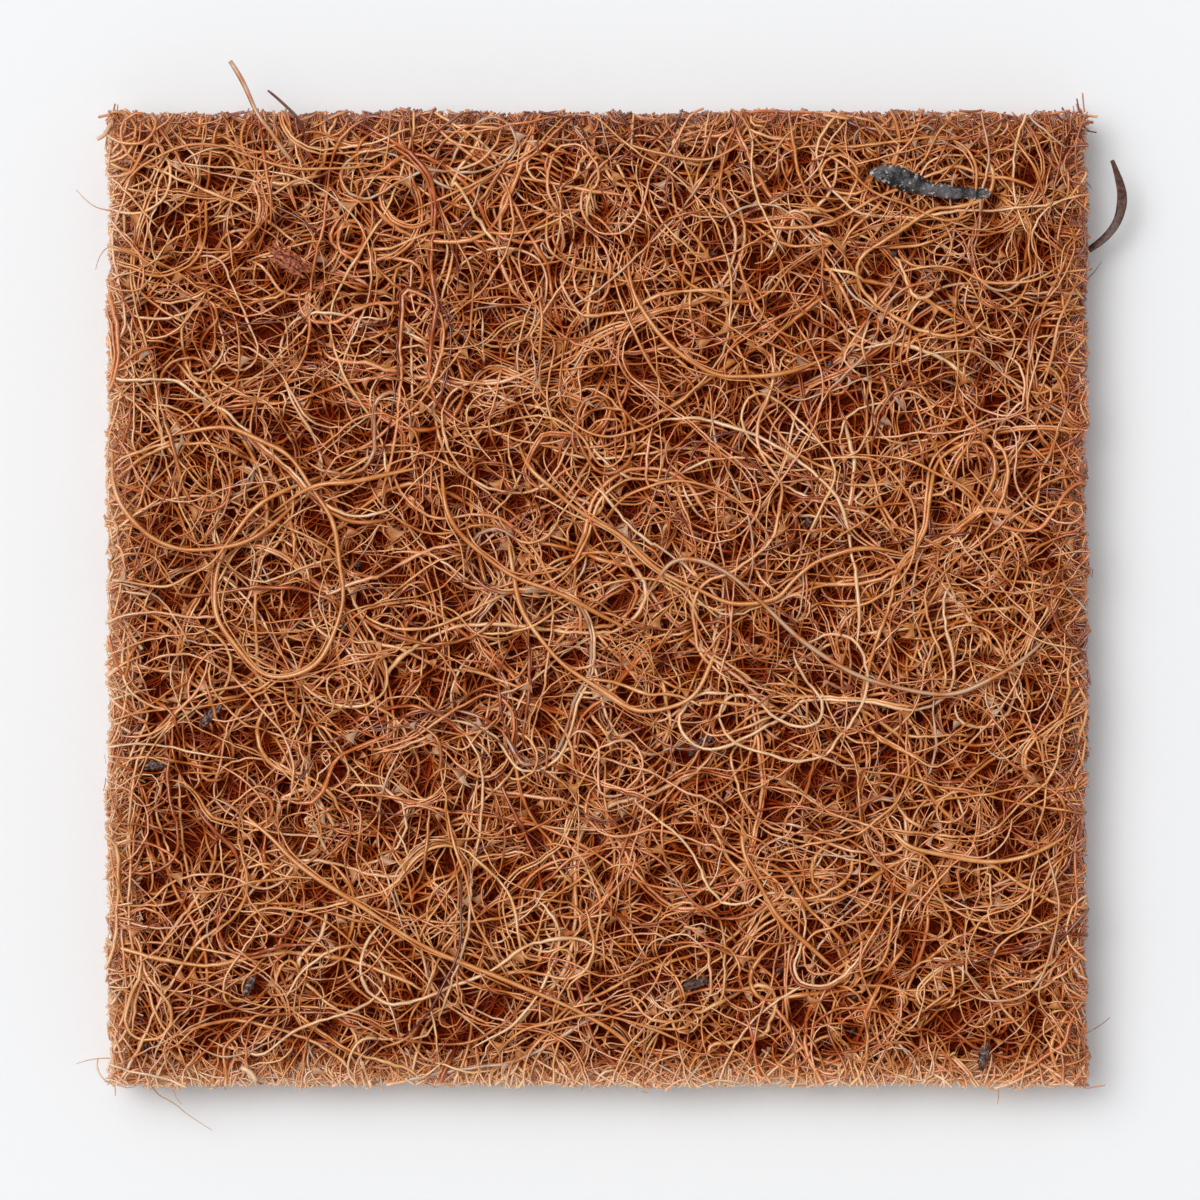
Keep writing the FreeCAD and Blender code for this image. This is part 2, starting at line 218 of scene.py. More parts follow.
@dataclass(frozen=True)
class CoirFinish:
    """Dry coconut fibre: tone picks the husk's colour, cut ends go pale, latex goes grey, and fibres
    below the pad's faces darken toward a painted shade colour.
    """

    dark_red: tuple = rgb(104, 34, 8)
    red_brown: tuple = rgb(174, 83, 22)
    orange: tuple = rgb(222, 139, 62)
    golden: tuple = rgb(248, 188, 124)
    straw: tuple = rgb(250, 208, 164)
    cut_end: tuple = rgb(252, 220, 188)
    coat: tuple = rgb(190, 168, 146)
    speckle: tuple = rgb(132, 52, 8)
    # Painted shade: the colour that fibres darken toward below the pad's faces.
    painted_shade: tuple = rgb(142, 31, 1)
    ruddy: tuple = (1.0, 0.68, 0.72, 1.0)
    gloss: tuple = (1.0, 0.62, 0.36, 1.0)
    roughness: float = 0.4
    unevenness: float = 0.3
    blotch_mm: float = 2.2
    grain_mm: float = 0.16
    tone_swing: float = 0.6
    ruddy_share: float = 0.7
    speckle_band: tuple = (0.54, 0.72)
    speckle_share: float = 0.5
    coat_band: tuple = (0.36, 0.56)
    painted_shade_share: float = 0.86
    dull_depth: float = 2.3

    def make(self) -> bpy.types.Material:
        """Build the material."""
        sheet = ShaderSheet("coir")
        where = sheet.places()
        blotch = sheet.noise(where, self.blotch_mm)
        grain = sheet.noise(where, self.grain_mm, 3.0)
        tone = (sheet.attribute("tone") + (blotch - 0.5) * self.tone_swing).clamped()
        stops = [(0.0, self.dark_red), (0.25, self.red_brown), (0.5, self.orange),
                 (0.78, self.golden), (1.0, self.straw)]
        plain = sheet.ramp(tone, stops)
        ruddy = sheet.attribute("ruddy").rising(0.3, 1.0) * self.ruddy_share
        husk = sheet.mix(ruddy, plain, self.ruddy, "MULTIPLY")
        speckles = grain.rising(*self.speckle_band) * self.speckle_share
        speckled = sheet.mix(speckles, husk, self.speckle)
        patches = sheet.attribute("coat") * blotch.rising(*self.coat_band)
        coated = sheet.mix(patches, speckled, self.coat)
        # Painted shade: each fibre darkens toward the painted shade colour with its depth below the
        # pad's faces.
        sunk = sheet.mix(sheet.attribute("shade_depth") * self.painted_shade_share, coated, self.painted_shade)
        pale = sheet.mix(sheet.attribute("cut"), sunk, self.cut_end)
        rough = self.roughness + (grain - 0.5) * self.unevenness
        bare = (1 - sheet.attribute("shade_depth") * self.dull_depth).clamped()
        skin = bare * (1 - sheet.attribute("cut"))
        return sheet.finish(pale, rough, bump=grain, bump_mm=0.02, Coat_Weight=skin,
                            Coat_Roughness=0.2, Coat_IOR=1.8, Specular_IOR_Level=0.2,
                            Specular_Tint=self.gloss)


@dataclass(frozen=True)
class BattShadeFinish:
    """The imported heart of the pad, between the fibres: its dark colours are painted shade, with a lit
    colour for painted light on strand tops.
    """

    # Painted shade for the gaps and painted light for strand tops.
    painted_shade: tuple = rgb(78, 14, 1)
    lit: tuple = rgb(130, 40, 6)
    strand_mm: float = 0.5
    relief_mm: float = 0.4
    roughness: float = 0.9

    def make(self) -> bpy.types.Material:
        """Build the material."""
        sheet = ShaderSheet("batt")
        where = sheet.places()
        strands = sheet.noise(where, self.strand_mm, 4.0)
        # Painted light and shade: noise sets lit strand tops against shaded gaps.
        colour = sheet.ramp(strands, [(0.4, self.painted_shade), (0.72, self.lit)])
        return sheet.finish(colour, self.roughness, bump=strands, bump_mm=self.relief_mm,
                            Specular_IOR_Level=0.1)


@dataclass(frozen=True)
class BarkFinish:
    """Near-black husk bark with a wet gloss, under grey crusts of dried latex."""

    black: tuple = rgb(20, 16, 17)
    slate: tuple = rgb(96, 90, 92)
    crust: tuple = rgb(214, 204, 200)
    crumb_mm: float = 0.4
    patch_mm: float = 2.0
    slate_band: tuple = (0.42, 0.62)
    crust_band: tuple = (0.62, 0.72)
    crust_share: float = 0.8
    rim_crust: float = 0.16
    roughness: float = 0.18
    unevenness: float = 0.35
    relief_mm: float = 0.16

    def make(self) -> bpy.types.Material:
        """Build the material."""
        sheet = ShaderSheet("bark")
        where = sheet.places()
        crumb = sheet.noise(where, self.crumb_mm, 4.0)
        patch = sheet.noise(where, self.patch_mm, 3.0)
        body = sheet.mix(patch.rising(*self.slate_band), self.black, self.slate)
        crusted = (crumb + sheet.attribute("rim") * self.rim_crust).rising(*self.crust_band)
        colour = sheet.mix(crusted * self.crust_share, body, self.crust)
        rough = self.roughness + crumb * self.unevenness
        return sheet.finish(colour, rough, bump=crumb, bump_mm=self.relief_mm)


@dataclass(frozen=True)
class HuskFinish:
    """Flat leathery husk, reddish brown with lengthwise streaks."""

    title: str
    dark: tuple
    light: tuple
    streak_mm: float = 0.35
    light_band: tuple = (0.36, 0.66)
    roughness: float = 0.34
    unevenness: float = 0.2
    relief_mm: float = 0.06

    def make(self) -> bpy.types.Material:
        """Build the material."""
        sheet = ShaderSheet(self.title)
        where = sheet.places()
        streak = sheet.noise(where, self.streak_mm, 4.0)
        colour = sheet.mix(streak.rising(*self.light_band), self.dark, self.light)
        rough = self.roughness + streak * self.unevenness
        return sheet.finish(colour, rough, bump=streak, bump_mm=self.relief_mm)


@dataclass(frozen=True)
class LatexFinish:
    """Dried latex: a satin skin, tan where it is thin over fibre and grey where it is thick."""

    tan: tuple = rgb(190, 120, 62)
    grey: tuple = rgb(194, 156, 126)
    stain: tuple = rgb(150, 82, 34)
    drift_mm: float = 6.0
    cloud_mm: float = 0.5
    grey_band: tuple = (0.5, 0.66)
    stain_band: tuple = (0.5, 0.75)
    stain_share: float = 0.7
    roughness: float = 0.3
    unevenness: float = 0.2
    relief_mm: float = 0.05

    def make(self) -> bpy.types.Material:
        """Build the material."""
        sheet = ShaderSheet("latex")
        where = sheet.places()
        drift = sheet.noise(where, self.drift_mm)
        cloud = sheet.noise(where, self.cloud_mm, 3.0)
        skin = sheet.mix(drift.rising(*self.grey_band), self.tan, self.grey)
        stained = cloud.rising(*self.stain_band) * self.stain_share
        colour = sheet.mix(stained, skin, self.stain)
        rough = self.roughness + cloud * self.unevenness
        return sheet.finish(colour, rough, bump=cloud, bump_mm=self.relief_mm)


@dataclass(frozen=True)
class PithFinish:
    """Crumbs of coir pith, from dark purple-brown to pearly grey where latex wets them."""

    dark: tuple = rgb(50, 30, 28)
    brown: tuple = rgb(104, 66, 56)
    pearl: tuple = rgb(160, 136, 128)
    crumb_mm: float = 0.3
    drift_mm: float = 9.0
    brown_band: tuple = (0.42, 0.62)
    pearl_band: tuple = (0.52, 0.66)
    wet_band: tuple = (0.44, 0.56)
    roughness: float = 0.3
    unevenness: float = 0.4
    relief_mm: float = 0.12

    def make(self) -> bpy.types.Material:
        """Build the material."""
        sheet = ShaderSheet("pith")
        where = sheet.places()
        crumb = sheet.noise(where, self.crumb_mm, 4.0)
        drift = sheet.noise(where, self.drift_mm)
        body = sheet.mix(crumb.rising(*self.brown_band), self.dark, self.brown)
        wet = crumb.rising(*self.pearl_band) * drift.rising(*self.wet_band)
        colour = sheet.mix(wet, body, self.pearl)
        rough = self.roughness + crumb * self.unevenness
        return sheet.finish(colour, rough, bump=crumb, bump_mm=self.relief_mm)


@dataclass(frozen=True)
class FloorFinish:
    """A plain pale floor."""

    colour: tuple = rgb(244, 246, 248)

    def make(self) -> bpy.types.Material:
        """Build the material."""
        sheet = ShaderSheet("floor")
        return sheet.finish(self.colour, 1.0, Specular_IOR_Level=0.0)


# --- Fibres ---

@dataclass
class Strand:
    """One fibre, in millimetres."""

    points: np.ndarray
    half_width: np.ndarray
    tone: float
    coat: float = 0.0
    cut: Optional[np.ndarray] = None

    def cut_shares(self) -> np.ndarray:
        """How pale each point is from a cut end."""
        return np.zeros(len(self.points)) if self.cut is None else self.cut

    def length(self) -> float:
        """Length along the fibre."""
        return float(np.linalg.norm(np.diff(self.points, axis=0), axis=1).sum())


@dataclass
class PadBlock:
    """The space that the fibres fill, with its ragged cut sides and its hollows."""

    half_x: float
    half_y: float
    top: float
    crown: float = 1.1
    wave: float = 0.2
    lengths: tuple = (3.1, 7.3, 17.0, 41.0)
    wave_starts: tuple = (2.4, 1.7)
    hollow_count: int = 14
    hollow_sizes: tuple = (2.6, 7.5)
    hollow_start: float = 0.3
    hollow_run: float = 0.9
    firm_rim: float = 5.0
    shaded_side: float = 0.8
    loft_below: float = 0.4
    lit_depth: float = 0.8
    dark_run: float = 2.6
    # Paleness by side within this rim, as left, right, near, far: painted light on the left, painted
    # shade on the right and far sides, paler cut ends on the near side.
    side_light_rim: float = 3.2
    rim_paleness: tuple = (0.22, -0.28, 0.34, -0.26)
    seed: int = 5

    def __post_init__(self) -> None:
        """Choose the waves that sum to the hollows."""
        rng = np.random.default_rng(self.seed)
        sizes = rng.uniform(*self.hollow_sizes, self.hollow_count)
        headings = rng.uniform(0, 2 * math.pi, self.hollow_count)
        self.ripples = 2 * math.pi / sizes * np.stack([np.cos(headings), np.sin(headings)])
        self.phases = rng.uniform(0, 2 * math.pi, self.hollow_count)

    def at(self, x: float, y: float) -> tuple:
        """Turn a place in percent of the pad, from its middle, into millimetres."""
        return x * self.half_x / 50, y * self.half_y / 50

    def line(self, route: Sequence[tuple]) -> np.ndarray:
        """Read a route's smooth line: x and y in percent of the pad, z in millimetres."""
        return smooth_line([(*self.at(x, y), z) for x, y, z in route])

    def ragged(self, along: np.ndarray, side: float) -> np.ndarray:
        """How far a cut side stands out, at places along it."""
        total = np.zeros_like(along)
        for index, length in enumerate(self.lengths):
            total += np.sin(2 * math.pi * along / length + self.wave_starts[0] * index
                            + self.wave_starts[1] * side)
        return total * self.wave / 2

    def outside(self, points: np.ndarray) -> np.ndarray:
        """Signed distance past the cut sides, negative inside."""
        x, y = points[..., 0], points[..., 1]
        past_x = np.abs(x) - self.half_x - self.ragged(y, 1.0) * np.sign(x)
        past_y = np.abs(y) - self.half_y - self.ragged(x, 2.0) * np.sign(y)
        return np.maximum(past_x, past_y)

    def hollow(self, points: np.ndarray) -> np.ndarray:
        """How far each place lies in a hollow of the top face, from 0 to 1."""
        total = np.zeros(points.shape[:-1])
        for wave_x, wave_y, phase in zip(*self.ripples, self.phases):
            total += np.sin(wave_x * points[..., 0] + wave_y * points[..., 1] + phase)
        total /= math.sqrt(self.hollow_count / 2)
        inward = -self.outside(points) / self.firm_rim
        return np.clip((total - self.hollow_start) / self.hollow_run, 0, 1) * np.clip(inward, 0, 1)

    def shade_depth(self, points: np.ndarray) -> np.ndarray:
        """How far each point lies below the nearest face of the pad, from 0 to 1; the fibres' finish
        darkens by this share as painted shade.
        """
        x, y, z = points[..., 0], points[..., 1], points[..., 2]
        from_side = np.minimum(self.half_x - np.abs(x), self.half_y - np.abs(y))
        from_side = from_side * self.shaded_side
        from_face = np.minimum(self.top + self.crown - z, z + self.loft_below)
        depth = np.minimum(from_face, from_side)
        share = np.clip((depth - self.lit_depth) / self.dark_run, 0, 1)
        return share * share * (3 - 2 * share)

    def paleness(self, points: np.ndarray) -> np.ndarray:
        """How much paler the left and near sides are, and darker the other two: painted light on the
        left side, painted shade on the right and far sides, and paler cut ends on the near side.
        """
        x, y = points[..., 0], points[..., 1]
        gaps = (self.half_x + x, self.half_x - x, self.half_y + y, self.half_y - y)
        total = sum(share * np.clip(1 - gap / self.side_light_rim, 0, 1)
                    for share, gap in zip(self.rim_paleness, gaps))
        return np.clip(total, min(self.rim_paleness), max(self.rim_paleness))


def main_pad() -> PadBlock:
    """Read the pad's block from the frame."""
    _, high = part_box("face_ply")
    return PadBlock(half_x=high.x / MM, half_y=high.y / MM, top=high.z / MM)


@dataclass(frozen=True)
class FibreStyle:
    """How the fibres of one depth of the pad curl."""

    metres: float
    low: float
    high: float
    sink: float = 0.0
    length: tuple = (16.0, 55.0)
    curl: float = 0.15
    curl_spread: float = 0.5
    curl_run: float = 6.0
    restore: float = 0.05
    loop_share: float = 0.12
    kinks: float = 0.035
    kink_turn: float = 0.48
    width: float = 0.2
    width_spread: float = 0.3
    step: float = 1.0
    shake: float = 0.04
    rise: float = 0.6
    tone: float = 0.5
    tone_spread: float = 0.22
    coat_share: float = 0.06
    twin_share: float = 0.0
    side_band: float = 0.0


@dataclass
class Curler:
    """Draws fibres that wander through the pad."""

    pad: PadBlock
    seed: int
    margin: float = 10.0
    thinnest: float = 0.12
    thickest: float = 0.46
    shortest: float = 0.05
    fewest: int = 3
    palest: float = 0.92
    coats: tuple = (0.3, 0.9)
    side_jitter: float = 0.12
    long_waves: tuple = (9, 24)
    short_waves: tuple = (3.5, 8)
    short_share: float = 0.22
    swells: tuple = (0.3, 1.0)
    twin_meets: tuple = (0.2, 0.8)
    twin_fans: tuple = (1.0, 16.0)
    twin_gap: float = 0.26
    knots: float = 0.12
    knot_turns: tuple = (0.3, 0.9)
    roughness: float = 0.07
    cut_run: float = 1.6
    cut_share: float = 0.7
    tip_share: float = 0.25
    tip_run: float = 4

    def __post_init__(self) -> None:
        """Start the draws."""
        self.rng = np.random.default_rng(self.seed)

    def wander(self, style: FibreStyle, count: int, steps: int) -> np.ndarray:
        """Draw fibres as smooth walks whose curl swings from one side to the other.

        Args:
            style: how they curl.
            count: how many.
            steps: points on each.

        Returns:
            Points in millimetres, count by steps by 3.
        """
        rng = self.rng
        strength = style.curl * np.exp(rng.normal(0, style.curl_spread, count))
        keep = math.exp(-style.step / style.curl_run)
        curl = rng.normal(0, 1, count)
        restore = style.restore * np.where(rng.uniform(0, 1, count) < style.loop_share, 0, 1)
        swung = np.zeros(count)
        turn = np.empty((count, steps))
        for index in range(steps):
            curl = curl * keep + rng.normal(0, 1, count) * math.sqrt(1 - keep ** 2)
            turn[:, index] = (curl * strength - restore * swung) * style.step
            swung += turn[:, index]
        kinked = rng.uniform(0, 1, (count, steps)) < style.kinks * style.step
        kink = np.where(kinked, rng.normal(0, style.kink_turn, (count, steps)), 0)
        turn += (kink + np.roll(kink, 1, axis=1)) / 2
        heading = rng.uniform(0, 2 * math.pi, count)[:, None] + np.cumsum(turn, axis=1)
        start = rng.uniform(-1, 1, (2, count, 1))
        reach_x = self.pad.half_x + self.margin
        reach_y = self.pad.half_y + self.margin
        x = start[0] * reach_x + np.cumsum(np.cos(heading), axis=1) * style.step
        y = start[1] * reach_y + np.cumsum(np.sin(heading), axis=1) * style.step
        along = np.arange(steps)[None, :] * style.step
        long_wave = rng.uniform(*self.long_waves, count)[:, None]
        short_wave = rng.uniform(*self.short_waves, count)[:, None]
        level = rng.uniform(style.low, style.high, count)[:, None]
        phase = rng.uniform(0, 2 * math.pi, (2, count, 1))
        swell = style.rise * rng.uniform(*self.swells, count)[:, None]
        z = level + swell * np.sin(2 * math.pi * along / long_wave + phase[0])
        ripple = np.sin(2 * math.pi * along / short_wave + phase[1])
        z = z + self.short_share * style.rise * ripple
        walks = np.stack([x, y, z], axis=2)
        return walks + rng.normal(0, style.shake, walks.shape)

    def twins(self, walks: np.ndarray, share: float) -> np.ndarray:
        """Draw fibres that run beside others and fan away from them at both ends."""
        rng = self.rng
        leads = walks[:int(len(walks) * share)]
        side = sideways(leads)
        place = np.linspace(0, 1, leads.shape[1])[None, :]
        centre = rng.uniform(*self.twin_meets, (len(leads), 1))
        fan = rng.uniform(*self.twin_fans, (len(leads), 1))
        hand = rng.choice([-1.0, 1.0], (len(leads), 1))
        gap = hand * (self.twin_gap + fan * (place - centre) ** 2)
        return leads + side * gap[..., None]

    def strands(self, style: FibreStyle, floor: float, ceiling: float) -> list[Strand]:
        """Draw the fibres of one depth and cut them at the pad's sides.

        Args:
            style: how they curl.
            floor: no fibre dips below this.
            ceiling: no fibre rises above this.

        Returns:
            The fibres inside the pad.
        """
        rng = self.rng
        steps = int(style.length[1] / style.step)
        mean_length = sum(style.length) / 2
        spread = (self.pad.half_x + self.margin) * (self.pad.half_y + self.margin)
        inside_share = self.pad.half_x * self.pad.half_y / spread
        drawn = style.metres * 1000 / mean_length / inside_share
        walks = self.wander(style, int(drawn / (1 + style.twin_share)), steps)
        walks = np.concatenate([walks, self.twins(walks, style.twin_share)])
        walks[..., 2] -= style.sink * self.pad.hollow(walks)
        walks[..., 2] = soft_limit(walks[..., 2], floor, ceiling)
        count = len(walks)
        kept = (rng.uniform(*style.length, count) / style.step).astype(int)
        widths = style.width * np.exp(rng.normal(0, style.width_spread, count))
        widths = np.clip(widths, self.thinnest, self.thickest)
        tones = np.minimum(rng.normal(style.tone, style.tone_spread, count), self.palest)
        coats = np.where(rng.uniform(0, 1, count) < style.coat_share,
                         rng.uniform(*self.coats, count), 0.0)
        past = self.pad.outside(walks) + rng.normal(0, self.side_jitter, count)[:, None]
        if style.side_band:
            past = np.maximum(past, -style.side_band - past)
        found: list[Strand] = []
        for index in range(count):
            found += self._cut(walks[index, :kept[index]], past[index, :kept[index]],
                               widths[index] / 2, tones[index], coats[index])
        return found

    def _cut(self, points: np.ndarray, past: np.ndarray, half_width: float,
             tone: float, coat: float) -> list[Strand]:
        """Keep the stretches of one fibre that lie inside the pad."""
        inside = past < 0
        if not inside.any():
            return []
        edges = np.flatnonzero(np.diff(inside.astype(int)))
        bounds = [0, *(edges + 1), len(points)]
        runs = [(a, b) for a, b in zip(bounds, bounds[1:])
                if inside[a] and b - a >= self.fewest]
        strands = []
        for first, last in runs:
            body = points[first:last]
            starts_cut, ends_cut = first > 0, last < len(points)
            if starts_cut:
                share = max(past[first] / (past[first] - past[first - 1]), self.shortest)
                tip = body[0] + share * (points[first - 1] - body[0])
                body = np.vstack([tip, body])
            if ends_cut:
                share = max(past[last - 1] / (past[last - 1] - past[last]), self.shortest)
                tip = body[-1] + share * (points[last] - body[-1])
                body = np.vstack([body, tip])
            strands.append(self._finish(body, half_width, tone, coat, starts_cut, ends_cut))
        return strands

    def _finish(self, body: np.ndarray, half_width: float, tone: float, coat: float,
                starts_cut: bool, ends_cut: bool) -> Strand:
        """Give a stretch its widths, its closed ends and its pale cuts."""
        count = len(body)
        place = np.arange(count)
        turns = place * self.rng.uniform(*self.knot_turns) + self.rng.uniform(0, 6)
        uneven = self.knots * np.sin(turns)
        widths = half_width * (1 + uneven + self.rng.normal(0, self.roughness, count))
        pale = np.zeros(count)
        for is_cut, order in ((starts_cut, place), (ends_cut, place[::-1])):
            if is_cut:
                fading = np.clip(1 - order / self.cut_run, 0, 1) * self.cut_share
                pale = np.maximum(pale, fading)
            else:
                widths = widths * np.clip(self.tip_share + order / self.tip_run, 0, 1)
        return closed_strand(body, widths, tone, coat, pale)


def closed_strand(body: np.ndarray, widths: np.ndarray, tone: float, coat: float = 0.0,
                  pale: Optional[np.ndarray] = None) -> Strand:
    """Close both ends of a fibre with a short blunt tip."""
    reach, blunt = 0.03, 0.02
    pale = np.zeros(len(body)) if pale is None else pale
    first_tip = body[0] + (body[0] - body[1]) * reach
    last_tip = body[-1] + (body[-1] - body[-2]) * reach
    points = np.vstack([first_tip, body, last_tip])
    widths = np.concatenate([[widths[0] * blunt], widths, [widths[-1] * blunt]])
    return Strand(points, widths, tone, coat, np.concatenate([pale[:1], pale, pale[-1:]]))


def sideways(lines: np.ndarray) -> np.ndarray:
    """Find the level direction across a line, or across many, at each point."""
    ahead = np.gradient(lines, axis=-2)
    side = np.stack([-ahead[..., 1], ahead[..., 0], 0 * ahead[..., 0]], axis=-1)
    return side / np.linalg.norm(side, axis=-1, keepdims=True)


def soft_limit(height: np.ndarray, floor: float, ceiling: float) -> np.ndarray:
    """Hold heights between two levels, with a gentle turn at each."""
    free, turn = 0.8, 0.2
    middle, reach = (floor + ceiling) / 2, (ceiling - floor) / 2
    share = (height - middle) / reach
    turned = free + turn * np.tanh((np.abs(share) - free) / turn)
    eased = np.where(np.abs(share) < free, share, np.sign(share) * turned)
    return middle + eased * reach


@dataclass
class Loom:
    """Turns strands into pieces."""

    pad: PadBlock
    material: bpy.types.Material
    most_faces: int = 95_000
    sides: int = 4
    ruddy_step: float = 0.618
    cut_paleness: float = 0.62
    cut_side_light: float = 1.5
    cell_rim: float = 0.05
    cell_share: float = 0.9

    def lay(self, name: str, strands: Sequence[Strand], slot: str,
            stands_for: Sequence[str] = ()) -> list[bpy.types.Object]:
        """Lay strands as one piece, or as several when they are many.

        Args:
            name: the piece's name; several pieces get numbers.
            strands: the fibres.
            slot: the record's material slot; not used.
            stands_for: CAD nodes that the first piece replaces.

        Returns:
            The pieces.
        """
        lots: list[list[Strand]] = [[]]
        faces = 0
        for strand in strands:
            size = self.sides * (len(strand.points) - 1)
            if faces + size > self.most_faces:
                lots.append([])
                faces = 0
            lots[-1].append(strand)
            faces += size
        pieces = []
        for number, lot in enumerate(lots, start=1):
            title = name if len(lots) == 1 else f"{name}_{number}"
            pieces.append(seat(self._tube(title, lot)))
        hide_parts(*stands_for)
        log.info("%s: %d pieces, %d strands, %.2f m", name, len(pieces), len(strands),
                 sum(strand.length() for strand in strands) * MM)
        return pieces

    def _tube(self, name: str, strands: Sequence[Strand]) -> bpy.types.Object:
        """Make one mesh of round tubes from curves."""
        curve = bpy.data.curves.new(name, "CURVE")
        curve.dimensions = "3D"
        curve.bevel_depth = 1.0
        curve.bevel_resolution = 0
        curve.twist_mode = "MINIMUM"
        for strand in strands:
            spline = curve.splines.new("POLY")
            count = len(strand.points)
            spline.points.add(count - 1)
            places = np.ones((count, 4), np.float32)
            places[:, :3] = strand.points
            spline.points.foreach_set("co", places.ravel())
            spline.points.foreach_set("radius", strand.half_width.astype(np.float32))
        piece = meshed(name, curve)
        piece.data.materials.clear()
        piece.data.materials.append(self.material)
        self._carry(piece.data, strands)
        return piece

    def _carry(self, mesh: bpy.types.Mesh, strands: Sequence[Strand]) -> None:
        """Write what the finish reads on the mesh, and a map cell for each strand."""
        lengths = np.array([len(s.points) for s in strands])
        places = np.concatenate([s.points for s in strands])
        # Side paleness: painted light on the left, painted shade on the right and far sides, paler cut
        # ends on the near side; it shifts each fibre's tone and its cut ends' paleness.
        paler = self.pad.paleness(places)
        cuts = np.concatenate([s.cut_shares() for s in strands])
        per_point = {
            "tone": np.repeat([s.tone for s in strands], lengths) + paler,
            "coat": np.repeat([s.coat for s in strands], lengths),
            "ruddy": np.repeat((0.5 + np.arange(len(strands)) * self.ruddy_step) % 1, lengths),
            "cut": cuts * np.clip(self.cut_paleness + self.cut_side_light * paler, 0, 1),
            # Depth share below the pad's faces: the mask of the fibres' painted shade.
            "shade_depth": self.pad.shade_depth(places),
        }
        for name, numbers in per_point.items():
            layer = mesh.attributes.new(name, "FLOAT", "POINT")
            layer.data.foreach_set("value", np.repeat(numbers, self.sides).astype(np.float32))
        owner_of_vertex = np.repeat(np.arange(len(strands)), lengths * self.sides)
        corners = np.empty(len(mesh.loops), np.int32)
        mesh.loops.foreach_get("vertex_index", corners)
        owner = owner_of_vertex[corners]
        layer = mesh.uv_layers[0]
        layer.name = "OFBake"
        within = np.empty(len(mesh.loops) * 2, np.float32)
        layer.data.foreach_get("uv", within)
        within = within.reshape(-1, 2)
        columns = math.ceil(math.sqrt(len(strands)))
        cell = np.stack([owner % columns, owner // columns], axis=1)
        spots = (cell + self.cell_rim + self.cell_share * within) / columns
        layer.data.foreach_set("uv", spots.astype(np.float32).ravel())


def select_only(piece: bpy.types.Object) -> None:
    """Make one object the only selected and the active one."""
    bpy.ops.object.select_all(action="DESELECT")
    piece.select_set(True)
    bpy.context.view_layer.objects.active = piece


def meshed(name: str, curve: bpy.types.Curve) -> bpy.types.Object:
    """Turn a curve in millimetres into a mesh object in metres."""
    piece = bpy.data.objects.new(name, curve)
    bpy.context.collection.objects.link(piece)
    select_only(piece)
    bpy.ops.object.convert(target="MESH")
    piece.scale = (MM, MM, MM)
    bpy.ops.object.transform_apply(location=False, rotation=False, scale=True)
    piece.data.name = name
    return piece


def seat(piece: bpy.types.Object) -> bpy.types.Object:
    """Let a piece ride on the mat."""
    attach(piece, BODY)
    return piece


def primitive(add: Callable, name: str, **sizes: Any) -> bpy.types.Object:
    """Add one of Blender's primitives, with nothing else selected."""
    bpy.ops.object.select_all(action="DESELECT")
    add(**sizes)
    piece = bpy.context.active_object
    piece.name = name
    return piece


def edit_whole(piece: bpy.types.Object, operator: Callable, **settings: Any) -> None:
    """Run one edit-mode operator on all of a mesh."""
    select_only(piece)
    bpy.ops.object.mode_set(mode="EDIT")
    bpy.ops.mesh.select_all(action="SELECT")
    operator(**settings)
    bpy.ops.object.mode_set(mode="OBJECT")


def apply_modifier(piece: bpy.types.Object, kind: str, **settings: Any) -> None:
    """Add a modifier with its settings and apply it."""
    select_only(piece)
    modifier = piece.modifiers.new(kind.lower(), kind)
    for name, setting in settings.items():
        setattr(modifier, name, setting)
    bpy.ops.object.modifier_apply(modifier=modifier.name)


def clouds(name: str, size_mm: float, depth: int = 2) -> bpy.types.Texture:
    """Make a lumpy procedural field for the displace modifier, in metres."""
    field_of_lumps = bpy.data.textures.new(name, "CLOUDS")
    field_of_lumps.noise_scale = size_mm * MM
    field_of_lumps.noise_depth = depth
    return field_of_lumps


def lumpy(piece: bpy.types.Object, lumps: bpy.types.Texture, strength: float) -> None:
    """Push a piece's skin in and out by a lumpy field."""
    apply_modifier(piece, "DISPLACE", texture=lumps, texture_coords="LOCAL",
                   strength=strength, mid_level=0.5)


def smooth_line(route: Sequence[Sequence[float]], resolution: int = 8) -> np.ndarray:
    """Read the points of a smooth line from its NURBS route, in millimetres.

    Args:
        route: the control points.
        resolution: points on each span.

    Returns:
        Points along the line.
    """
    curve = bpy.data.curves.new("route", "CURVE")
    curve.dimensions = "3D"
    curve.resolution_u = resolution
    spline = curve.splines.new("NURBS")
    spline.points.add(len(route) - 1)
    for point, place in zip(spline.points, route):
        point.co = (*place, 1.0)
    spline.order_u = 3
    spline.use_endpoint_u = True
    holder = bpy.data.objects.new("route", curve)
    mesh = bpy.data.meshes.new_from_object(holder)
    points = np.array([vertex.co for vertex in mesh.vertices])
    bpy.data.objects.remove(holder)
    bpy.data.meshes.remove(mesh)
    return points


# --- The fibres of the face ---

COARSE = 0.56
FINE = 0.34
HAIR = 0.2


class Husk(Enum):
    """The kinds of fibre: the record's slot, the tone and the share of latex coat."""

    BROWN = ("brown_fibre", 0.57, 0.0)
    DARK = ("dark_fibre", -0.05, 0.0)
    GREY = ("coated_fibre", 0.5, 0.55)
    PALE = ("brown_fibre", 0.66, 0.5)

    def __init__(self, slot: str, tone: float, coat: float) -> None:
        """Name the three facts of a kind."""
        self.slot = slot
        self.tone = tone
        self.coat = coat


@dataclass(frozen=True)
class Route:
    """One fibre of the face: its places in percent of the pad, its width, lay and kind."""

    places: list
    width: float = FINE
    lay: int = 0
    husk: Husk = Husk.BROWN


